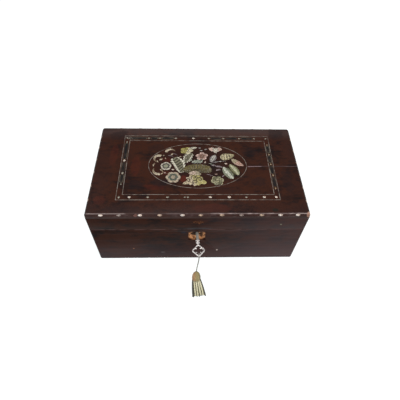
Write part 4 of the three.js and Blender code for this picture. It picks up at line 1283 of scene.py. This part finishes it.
# Name, tint, carving, centre, turn, whether it is drawn round a middle, and shape.
PICTURE = [
    ("shell_basket_bud", bud_shell, carve_bud, (-3.8, -13.6), -6, False, leaf_shape(18, 8, 2, 0.5)),
    ("shell_basket", olive, carve_basket, (0, -6.5), 0, False, basket_shape(42, 19)),
    ("shell_basket_leaf", lobed, carve_lobed, (-4, -25), 0, True, round_shape(lobed_radius)),
    ("shell_ringed_flower", ringed, carve_ringed, (-46, 1.6), 18, True, flower_shape(5, 7.9, 0.12)),
    ("shell_large_flower", ring_green, carve_large, (-35, -20), 0, True, flower_shape(6, 10.6, 0.18)),
    ("shell_toothed_leaf", grey_green, carve_toothed, (-28.2, 3.6), -69, False,
     leaf_shape(33, 16, 2, 0.5, 7, 1.8, 0.66)),
    ("shell_yellow_flower", yellow, carve_yellow, (-16, 33.6), 0, True, flower_shape(5, 7.6, 0.34, 1.3)),
    ("shell_pale_bud", grey_green, carve_leaf, (-5.6, 39.4), 8, False, leaf_shape(12, 5)),
    ("shell_leaf_cluster", grey_green, carve_toothed, (-12.5, 18.5), 62, False,
     leaf_shape(22, 10.5, 2, 0.6, 5, 2.0)),
    ("shell_pink_flower", pink, carve_petals, (7, 21.8), 18, True, flower_shape(5, 8.4, 0.36, 1.15)),
    ("shell_teal_leaf", teal, carve_leaf, (-0.5, 9.9), 0, False, leaf_shape(16, 6, 1, 0.6, 4, 1.4)),
    ("shell_butterfly", butterfly_shell, carve_butterfly, (28, 35.5), -90, True, butterfly_shape),
    ("shell_ribbed_leaf", lilac, carve_leaf, (23.6, 17.2), 62, False, leaf_shape(17, 9.4, 0, 0.7)),
    ("shell_paisley", drop, carve_paisley, (45.5, 20.4), 4, False, paisley_shape(22, 18.5, 3.5)),
    ("shell_pink_leaf", leaf_pink, carve_tip, (59.3, 9.6), -40, False, leaf_shape(23, 9, -1)),
    ("shell_fruit_left", fruit_green, carve_lines, (44.4, -11.6), -60, False, leaf_shape(26, 11, -1, 0.5)),
    ("shell_fruit_right", fruit_yellow, carve_lines, (53.4, -5.4), -60, False, leaf_shape(24, 10, 1, 0.5)),
    ("shell_rose", rose, carve_rose, (28, -26.2), 10, True, flower_shape(6, 9.4, 0.26)),
    ("shell_scroll_back", tan, carve_scroll, (-39.6, 29.4), 0, False, scroll_shape(7, 3.8, 175, 25)),
    ("shell_scroll_left", tan, carve_scroll, (-57.2, 16.4), 0, False, scroll_shape(6.6, 4.2, 60, 235)),
    ("shell_scroll_front", tan, carve_scroll, (-56.4, -6.4), 0, False, scroll_shape(7.6, 4.0, 285, 150)),
    ("shell_purple_leaf", purple, carve_leaf, (31.5, 0.2), -12, False, leaf_shape(12.5, 3.6, 0.8)),
]
# Small bits without a CAD solid: petals, buds and stems.
BITS = [
    (tan, (-63, 4), 70, leaf_shape(7, 2.2, 1.4)), (tan, (-47, 17), -60, leaf_shape(3.4, 1.6)),
    (tan, (-50, 23.5), 20, leaf_shape(3.6, 1.8)), (purple, (-40, 22), -15, leaf_shape(9, 1.5, 0.8)),
    (purple, (-33, 25.4), -30, leaf_shape(8, 1.4, 0.8)), (tan, (-25, 21), 30, leaf_shape(3.4, 1.8)),
    (butterfly_shell, (-35.6, -5.2), 0, leaf_shape(5, 2.1)), (pink, (-47, -11.4), 10, leaf_shape(4, 1.9)),
    (lilac, (4.2, 39.5), 30, leaf_shape(3.4, 1.8)), (lilac, (6.4, 34), 0, leaf_shape(4.2, 2)),
    (lilac, (13.2, 36.4), 25, leaf_shape(5, 2)), (teal, (-9.4, 14.2), 60, leaf_shape(6, 2.6)),
    (teal, (7.2, 13.4), 80, leaf_shape(6, 2.4)), (butterfly_shell, (11.6, 9.4), 60, leaf_shape(4, 1.8)),
    (teal, (1.2, 14.6), 90, leaf_shape(6, 2)), (purple, (24, 3), 0, leaf_shape(7, 2.6, 0.4)),
    (purple, (30.4, -6), 12, leaf_shape(8, 3, 0.6)), (purple, (38.6, -2.4), 60, leaf_shape(5, 2.4)),
    (butterfly_shell, (42.2, 6.8), -20, leaf_shape(4.6, 2.4)), (pink, (27, -14.2), 0, leaf_shape(4, 2.2)),
    (purple, (36.6, -17.4), 50, leaf_shape(6, 2)), (purple, (17.4, -16.2), -20, leaf_shape(12, 1.2, 0.8)),
    (fruit_dark, (48.6, -8.6), -60, leaf_shape(20, 1.6, 0, 0.4)),
    (tan, (-53.6, 15.4), 40, leaf_shape(6, 3.4)),
    (tan, (-52.4, -7.4), -50, leaf_shape(8, 2.0, 1)), (tan, (-37.8, 26.2), 60, leaf_shape(5, 2.6)),
    (lilac, (30.6, 9.2), 12, leaf_shape(24, 1.1, 1.6)), (teal, (20.4, 5.4), -28, leaf_shape(9, 1.0, 0.6)),
    (tan, (-58.6, 10.6), -60, leaf_shape(5, 2)), (tan, (-51.2, -12.8), 40, leaf_shape(5, 2.2)),
]
pockets = []
placed = []
for name, tint, carve, centre, turn, closed, shape in PICTURE:
    size = (120, 30) if closed else (84, 30)
    piece = inlay(name + "_slab", shape, carve, centre, turn, size, closed=closed, neighbours=placed)
    outline = rim_outline(shape, centre, turn, closed, 0.1)
    low_x, high_x = min(p[0] for p in outline), max(p[0] for p in outline)
    low_y, high_y = min(p[1] for p in outline), max(p[1] for p in outline)
    placed.append((outline, (low_x, high_x, low_y, high_y)))
    dress(piece, tint)
    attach(piece, "lid")
    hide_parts(name)
for n, (tint, centre, turn, shape) in enumerate(BITS):
    piece = inlay(f"shell_bit_{n + 1:02d}", shape, carve_plain, centre, turn, (16, 6), 0.12)
    pockets.append(pocket_for(rim_outline(shape, centre, turn, False, 0.08, 20)))
    dress(piece, tint)
    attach(piece, "lid")
pockets += [pocket_for(outline) for outline, _ in placed]
cut(top, join("picture_pockets", pockets), crossing=True)

# ---------------------------------------------------------------------------------------------
# Stringing: thin pewter lines let into the top, two round the band and one round the picture.
# They have gone dull, and in places the polish has run over them.
pewter = Finish("dull_pewter", 0.5, Metallic=0.25, Specular_IOR_Level=0.3)
lightening = pewter.noise(9, detail=4, rough=0.65)
tone = pewter.mix(lightening.ease(0.36, 0.62), colour(86, 70, 64), colour(150, 140, 130))
specks = pewter.noise(0.8, detail=2).ease(0.5, 0.7) * 0.4
pewter.feed("Base Color", pewter.mix(specks, tone, colour(62, 50, 44)))
pewter.feed("Roughness", 0.4 + 0.25 * lightening)
pewter.bump(pewter.noise(0.6), 0.03)
for piece, node in zip(line_hoops(0, HEIGHT - INLAY_DEPTH + 0.05, HEIGHT + 0.03),
                       ("stringing_outer", "stringing_inner", "stringing_oval")):
    soften(piece, 0.08, 1, 50)
    smooth(piece, 30)
    dress(piece, pewter)
    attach(piece, "lid")
    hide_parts(node)

# ---------------------------------------------------------------------------------------------
# Band: between the two rectangles stand small lozenges of shell, and between them long cells of
# ebony with rounded ends, outlined in pewter.
BAND_FRONT, BAND_BACK, BAND_LEFT, BAND_RIGHT = -56.0, 60.9, -107.5, 108.9
# Each lozenge: its place along the band, and its size against the usual one.
FRONT_DOTS = [(-107.6, 0.9), (-93.4, 1), (-68.6, 0.9), (-41.6, 0.9), (-18.4, 0.6), (-14, 0.8), (16.6, 1),
              (42.6, 1.1), (66, 0.8), (91, 1), (107.4, 0.9)]
BACK_DOTS = [(-107.6, 0.8), (-74.4, 0.8), (-57.6, 0.9), (-32.6, 0.9), (-5, 1), (19, 0.8), (42, 0.8),
             (66.6, 0.8), (90.4, 0.7), (108.6, 0.7)]
LEFT_DOTS = [(52, 0.7), (12.6, 1), (-12, 1), (-33, 0.6)]
RIGHT_DOTS = [(47, 0.6), (26, 0.7), (6, 0.7), (-16, 0.9), (-40, 0.7)]


def lozenge(length, width):
    def radius_at(angle):
        along, across = abs(math.cos(angle)) ** 1.5, abs(math.sin(angle)) ** 1.5
        return width / 2 / (along * width / length + across) ** 0.7
    return round_shape(radius_at)


dot_white = nacre("dot_white_shell", colour(236, 226, 212), colour(214, 190, 170), shimmer=0.3)
dot_tan = nacre("dot_tan_shell", colour(170, 146, 112), colour(120, 98, 70), shimmer=0.4)
dot_grey = nacre("dot_grey_shell", colour(162, 154, 136), colour(128, 124, 110), shimmer=0.4)
DOT_LENGTH, DOT_WIDTH = 5.0, 3.4
WHITE_DOTS = [(along, BAND_FRONT) for along in (-93.4, 16.6, 42.6, 91, 107.4)]
WHITE_DOTS += [(-5, BAND_BACK), (12.6, BAND_LEFT)]
dots = []
pockets = []
for places, fixed, lying in ((FRONT_DOTS, BAND_FRONT, True), (BACK_DOTS, BAND_BACK, True),
                             (LEFT_DOTS, BAND_LEFT, False), (RIGHT_DOTS, BAND_RIGHT, False)):
    for along, scale in places:
        centre = (along, fixed) if lying else (fixed, along)
        turn = 0 if lying else 90
        if abs(along) > 100:
            turn = 45 if (along < 0) != (fixed > 0) else -45
        shape = lozenge(DOT_LENGTH * scale, DOT_WIDTH * scale)
        tint = dot_tan if fixed == BAND_RIGHT else dot_grey
        if (along, fixed) in WHITE_DOTS:
            tint = dot_white
        dots.append((tint, inlay("dot", shape, carve_plain, centre, turn, (24, 6), 0.15, True)))
        pockets.append(pocket_for(rim_outline(shape, centre, turn, True, 0.06, 24)))
for name, tint in (("band_dots_white", dot_white), ("band_dots_tan", dot_tan), ("band_dots_grey", dot_grey)):
    piece = join(name, [dot for paint, dot in dots if paint is tint])
    dress(piece, tint)
    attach(piece, "lid")


def cell_outline(centre, length, width, lying):
    """A long cell with round ends."""
    straight = length / 2 - width / 2
    points = [(straight + width / 2 * math.cos(a), width / 2 * math.sin(a)) for a in
              (math.pi * n / 8 - math.pi / 2 for n in range(9))]
    points += [(-x, -y) for x, y in points]
    return [(centre[0] + x, centre[1] + y) if lying else (centre[0] - y, centre[1] + x) for x, y in points]


ebony = Finish("ebony", 0.45, Specular_IOR_Level=0.2)
grain = ebony.noise(1.2, (0.1, 0.1, 1), 3)
tone = ebony.mix(grain.ease(0.4, 0.65), colour(24, 21, 21), colour(46, 36, 32))
ebony.feed("Base Color", tone)
ebony.bump(grain, 0.03)
rim_pewter = Finish("cell_rim", 0.55, Metallic=0.2, Specular_IOR_Level=0.3)
fade = rim_pewter.noise(11, detail=3)
rim_pewter.feed("Base Color", rim_pewter.mix(fade.ease(0.42, 0.6), colour(74, 58, 48), colour(128, 124, 104)))
rim_pewter.bump(rim_pewter.noise(0.7), 0.03)
cells, rims = [], []
CELL_WIDTH, CELL_DEPTH, CELL_END_GAP = 5.2, 0.6, 5.6
cell_bottom, cell_top = HEIGHT - CELL_DEPTH + 0.05, HEIGHT + 0.02
# kept: which gaps between two lozenges hold a cell.
for places, fixed, lying, kept in ((BACK_DOTS, BAND_BACK, True, (0, 1, 2, 5, 6, 7)),
                                   (LEFT_DOTS, BAND_LEFT, False, (0, 1, 2)),
                                   (RIGHT_DOTS, BAND_RIGHT, False, (0, 1, 2, 3))):
    for n, (first, second) in enumerate(zip(places, places[1:])):
        if n not in kept:
            continue
        low, high = sorted((first[0], second[0]))
        length = high - low - CELL_END_GAP
        centre = ((low + high) / 2, fixed) if lying else (fixed, (low + high) / 2)
        pockets.append(pocket_for(cell_outline(centre, length, CELL_WIDTH, lying), CELL_DEPTH))
        inner = cell_outline(centre, length - 0.9, CELL_WIDTH - 0.9, lying)
        cells.append(prism("cell", inner, cell_bottom, cell_top))
        outer = cell_outline(centre, length - 0.08, CELL_WIDTH - 0.1, lying)
        rim = prism("rim", outer, cell_bottom, cell_top)
        hole = prism("inner", cell_outline(centre, length - 0.8, CELL_WIDTH - 0.8, lying), 0, 200)
        rims.append(cut(rim, hole))
for name, pieces, finish, slot in (("band_cells", cells, ebony, "rosewood"),
                                   ("band_cell_rims", rims, rim_pewter, "pewter")):
    piece = join(name, pieces)
    dress(piece, finish)
    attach(piece, "lid")

# The pale stripes across the band's mitre at the back left, where the lines were spliced.
stripes = []
for shift, reach, width in ((0, 11.5, 0.7), (2.6, 8.5, 0.5), (-2.2, 8, 0.5), (5.2, 9, 0.6)):
    left = -2 + shift
    points = [(left, 3), (left + width, 3), (left + reach + width, 3 - reach), (left + reach, 3 - reach)]
    outline = [(OUTER_LINE[0] + 2.6 + x, OUTER_LINE[3] - 4 + y) for x, y in points]
    pockets.append(pocket_for(outline, CELL_DEPTH))
    stripes.append(prism("stripe", outline, cell_bottom, HEIGHT + 0.04))
mitre_stripes = join("mitre_stripes", stripes)
dress(mitre_stripes, pewter)
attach(mitre_stripes, "lid")
cut(top, join("band_pockets", pockets), crossing=True)
dress(top, top_wood)
smooth(top, 35)
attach(top, "lid")
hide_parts("lid_top")

# ---------------------------------------------------------------------------------------------
# Arris shells: eleven lozenges of shell let into the rounded front arris of the lid, and smaller
# ones in its end and back arrises. Some are white, some tan or gone dull.
arris_white = nacre("arris_white_shell", colour(246, 236, 226), colour(232, 206, 190), shimmer=0.2)
arris_tan = nacre("arris_tan_shell", colour(206, 176, 150), colour(160, 128, 108), shimmer=0.4)
arris_dull = nacre("arris_dull_shell", colour(150, 130, 122), colour(118, 98, 92), shimmer=0.4)
ARRIS_TINTS = (arris_white, arris_dull, arris_white, arris_tan, arris_white, arris_tan, arris_tan,
               arris_dull, arris_tan, arris_white, arris_white)


def arris_shell(name, centre, facing, length, width, tint):
    """Laid on the arris: facing is the side that it looks to, as a turn about Z from -Y."""
    shape = leaf_shape(length * 0.96, width * 0.86, 0, 0.62)
    piece = inlay(name, shape, carve_plain, (0, 0), 0, (28, 10), 0.2)
    spin = math.radians(facing)

    def lay(p):
        x, y, z = p.x, p.y, p.z - HEIGHT
        out, up = (z - y) * math.sqrt(0.5), (z + y) * math.sqrt(0.5)
        return (centre[0] + x * math.cos(spin) + out * math.sin(spin),
                centre[1] + x * math.sin(spin) - out * math.cos(spin), centre[2] + up)

    move(piece, lay)
    dress(piece, tint)
    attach(piece, "lid")
    return piece


ARRIS_MIDDLE = TOP_ROUND / 2 - 0.34
arris_z = HEIGHT - ARRIS_MIDDLE
for n, (x, tint) in enumerate(zip(EDGE_SHELL_PLACES, ARRIS_TINTS)):
    shell = arris_shell(f"arris_shell_{n + 1:02d}", (x, FRONT + ARRIS_MIDDLE, arris_z), 0, 6.4, 3.2, tint)
    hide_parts(f"edge_shell_{n + 1:02d}")
for n, y in enumerate((-60, -35, -10, 15, 40, 64)):
    arris_shell(f"end_shell_left_{n + 1}", (-WIDTH / 2 + ARRIS_MIDDLE, y, arris_z), -90, 5, 3, arris_tan)
for n, y in enumerate((-62, -38, -14, 10, 35, 60)):
    arris_shell(f"end_shell_right_{n + 1}", (WIDTH / 2 - ARRIS_MIDDLE, y, arris_z), 90, 5, 3, arris_tan)
for n, x in enumerate((-120, -90, -60, -30, 0, 30, 60, 90, 120)):
    tint = (arris_tan, arris_dull)[n % 2]
    arris_shell(f"back_shell_{n + 1}", (x, BACK - ARRIS_MIDDLE, arris_z), 180, 5, 3, tint)

# ---------------------------------------------------------------------------------------------
# Hinges: two cast brass butts, each leaf sunk in its board and held by three countersunk screws,
# with five knuckles on a steel pin.
LEAF_LENGTH, LEAF_THICKNESS = 34, 1.2
KNUCKLE = LEAF_LENGTH / 5
KNUCKLE_RADIUS, KNUCKLE_GAP = 2.4, 0.12
SCREW_SPACING, SCREW_Y = 11.5, 79.2
PIN_RADIUS, PIN_HEAD = 0.9, 0.9
brass = worn_metal("old_brass", colour(150, 122, 66), colour(104, 82, 42), colour(58, 46, 26), 0.4)
steel = worn_metal("dull_steel", colour(134, 132, 128), colour(92, 90, 88), colour(82, 54, 38), 0.45)


def hinge_bar(name, radius, x0, x1):
    """A round bar on the hinge axis."""
    bar = along_x([(HINGE_AXIS.y + y, HINGE_AXIS.z + z) for y, z in ring(radius, 40)], x0, x1)
    bar.name = name
    return bar


def screw(name, centre, radius, facing):
    """A countersunk screw head with its slot. facing is the way that it looks."""
    head = prism(name, ring(radius, 28), -0.5, 0.12)
    soften(head, 0.1, 2, 50)
    turn = random.Random(name).uniform(0, math.pi)
    slot = prism("slot", [(x * math.cos(turn) - y * math.sin(turn), x * math.sin(turn) + y * math.cos(turn))
                          for x, y in ((-3, -0.22), (3, -0.22), (3, 0.22), (-3, 0.22))], -0.25, 1)
    cut(head, slot)
    lean = Vector((0, 0, 1)).rotation_difference(Vector(facing))
    move(head, lambda p: lean @ p + Vector(centre))
    smooth(head, 40)
    return head


# first: whether the leaf has the outer knuckles, 0, or the inner ones, 1.
LEAVES = (("base_leaf", "base", BASE_TOP, -1, 0), ("lid_leaf", "lid", LID_LOW, 1, 1))
for side, middle in zip(("left", "right"), HINGE_PLACES):
    start, end = middle - LEAF_LENGTH / 2, middle + LEAF_LENGTH / 2
    for part, body, edge_z, direction, first in LEAVES:
        low, high = sorted((edge_z, edge_z + direction * LEAF_THICKNESS))
        leaf = block("leaf", (start, BACK - WALL + 0.2, low), (start + LEAF_LENGTH, HINGE_AXIS.y, high))
        for n in range(5):
            x0 = start + n * KNUCKLE
            x1 = x0 + KNUCKLE
            if n % 2 == first:
                cut(leaf, hinge_bar("knuckle", KNUCKLE_RADIUS, x0 + KNUCKLE_GAP, x1 - KNUCKLE_GAP), "UNION")
            else:
                cut(leaf, hinge_bar("gap", KNUCKLE_RADIUS + 0.25, x0 - KNUCKLE_GAP, x1 + KNUCKLE_GAP))
        soften(leaf, 0.18, 2, 50)
        smooth(leaf, 40)
        leaf.name = f"hinge_{side}_{part}_cast"
        dress(leaf, brass)
        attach(leaf, body)
        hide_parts(f"hinge_{side}_{part}")
        heads = []
        for n, x in enumerate((middle - SCREW_SPACING, middle, middle + SCREW_SPACING)):
            place = (x, SCREW_Y, edge_z + direction * 0.02)
            heads.append(screw(f"screw_{side}_{part}_{n}", place, 1.7, (0, 0, -direction)))
        screws = join(f"hinge_{side}_{part}_screws", heads)
        dress(screws, steel)
        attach(screws, body)
    pin = hinge_bar(f"hinge_{side}_pin_steel", PIN_RADIUS, start - 0.5, end + 0.5)
    cut(pin, hinge_bar("head", 1.5, start - 0.4 - PIN_HEAD, start - 0.4), "UNION")
    cut(pin, hinge_bar("head", 1.5, end + 0.4, end + 0.4 + PIN_HEAD), "UNION")
    soften(pin, 0.2, 2, 50)
    smooth(pin, 40)
    dress(pin, steel)
    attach(pin, "base")
    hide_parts(f"hinge_{side}_pin")

# ---------------------------------------------------------------------------------------------
# Lock and catch: a steel box lock let into the inside of the front board, its plate flush with
# the rim, and the catch plate in the lid whose two staples drop into it. Both keep their CAD shape.
for node in ("box_lock", "lock_catch"):
    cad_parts[node].data.materials.clear()
    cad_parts[node].data.materials.append(steel.material)
heads = [screw(f"lock_screw_{n}", (KEYHOLE.x + dx, FRONT + WALL + 0.02, z), 1.5, (0, 1, 0))
         for n, (dx, z) in enumerate(((-21, 63), (21, 63), (-21, 76), (21, 76)))]
heads += [screw(f"plate_screw_{n}", (KEYHOLE.x + dx, FRONT + 7, BASE_TOP + 0.02), 1.3, (0, 0, 1))
          for n, dx in enumerate((-20, 20))]
lock_screws = join("lock_screws", heads)
heads = [screw(f"catch_screw_{n}", (KEYHOLE.x + dx, FRONT + 6.7, LID_LOW - 0.02), 1.4, (0, 0, -1))
         for n, dx in enumerate((-15, 0, 15))]
catch_screws = join("catch_screws", heads)
for piece, body in ((lock_screws, "base"), (catch_screws, "lid")):
    dress(piece, steel)
    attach(piece, body)

# ---------------------------------------------------------------------------------------------
# Table and studio light: a plain white table under soft lamps, with a dim room behind.
clear_selection()
bpy.ops.mesh.primitive_plane_add(size=6, location=(0, 0, 0))
table = name_it("table")
table_white = Finish("table_white", 0.9, Specular_IOR_Level=0.0)
table_white.shader.inputs["Base Color"].default_value = (0.35, 0.35, 0.35, 1)
table_white.shader.inputs["Emission Color"].default_value = (0.96, 1.0, 1.0, 1)
table_white.shader.inputs["Emission Strength"].default_value = 0.85
dress(table, table_white)

world = bpy.data.worlds.new("studio")
bpy.context.scene.world = world
world.use_nodes = True
world.node_tree.nodes["Background"].inputs["Color"].default_value = (0.95, 0.98, 1.0, 1)
world.node_tree.nodes["Background"].inputs["Strength"].default_value = 0.3


def lamp(name, place, aim, size, power):
    bpy.ops.object.light_add(type="AREA", location=place)
    light = bpy.context.active_object
    light.name = name
    light.data.size = size
    light.data.energy = power
    light.rotation_euler = (Vector(aim) - Vector(place)).to_track_quat("-Z", "Y").to_euler()


lamp("front_lamp", (-0.5, -1.3, 1.0), (0, 0, 0.06), 0.7, 4)
lamp("right_lamp", (1.3, -0.4, 1.1), (0, 0, 0.06), 0.6, 8)
lamp("left_lamp", (-1.4, 0.1, 1.2), (0, 0, 0.06), 0.6, 6)
lamp("top_lamp", (0.1, -0.1, 1.5), (0, 0, 0.06), 0.6, 9)
bpy.context.scene.view_settings.view_transform = "Standard"
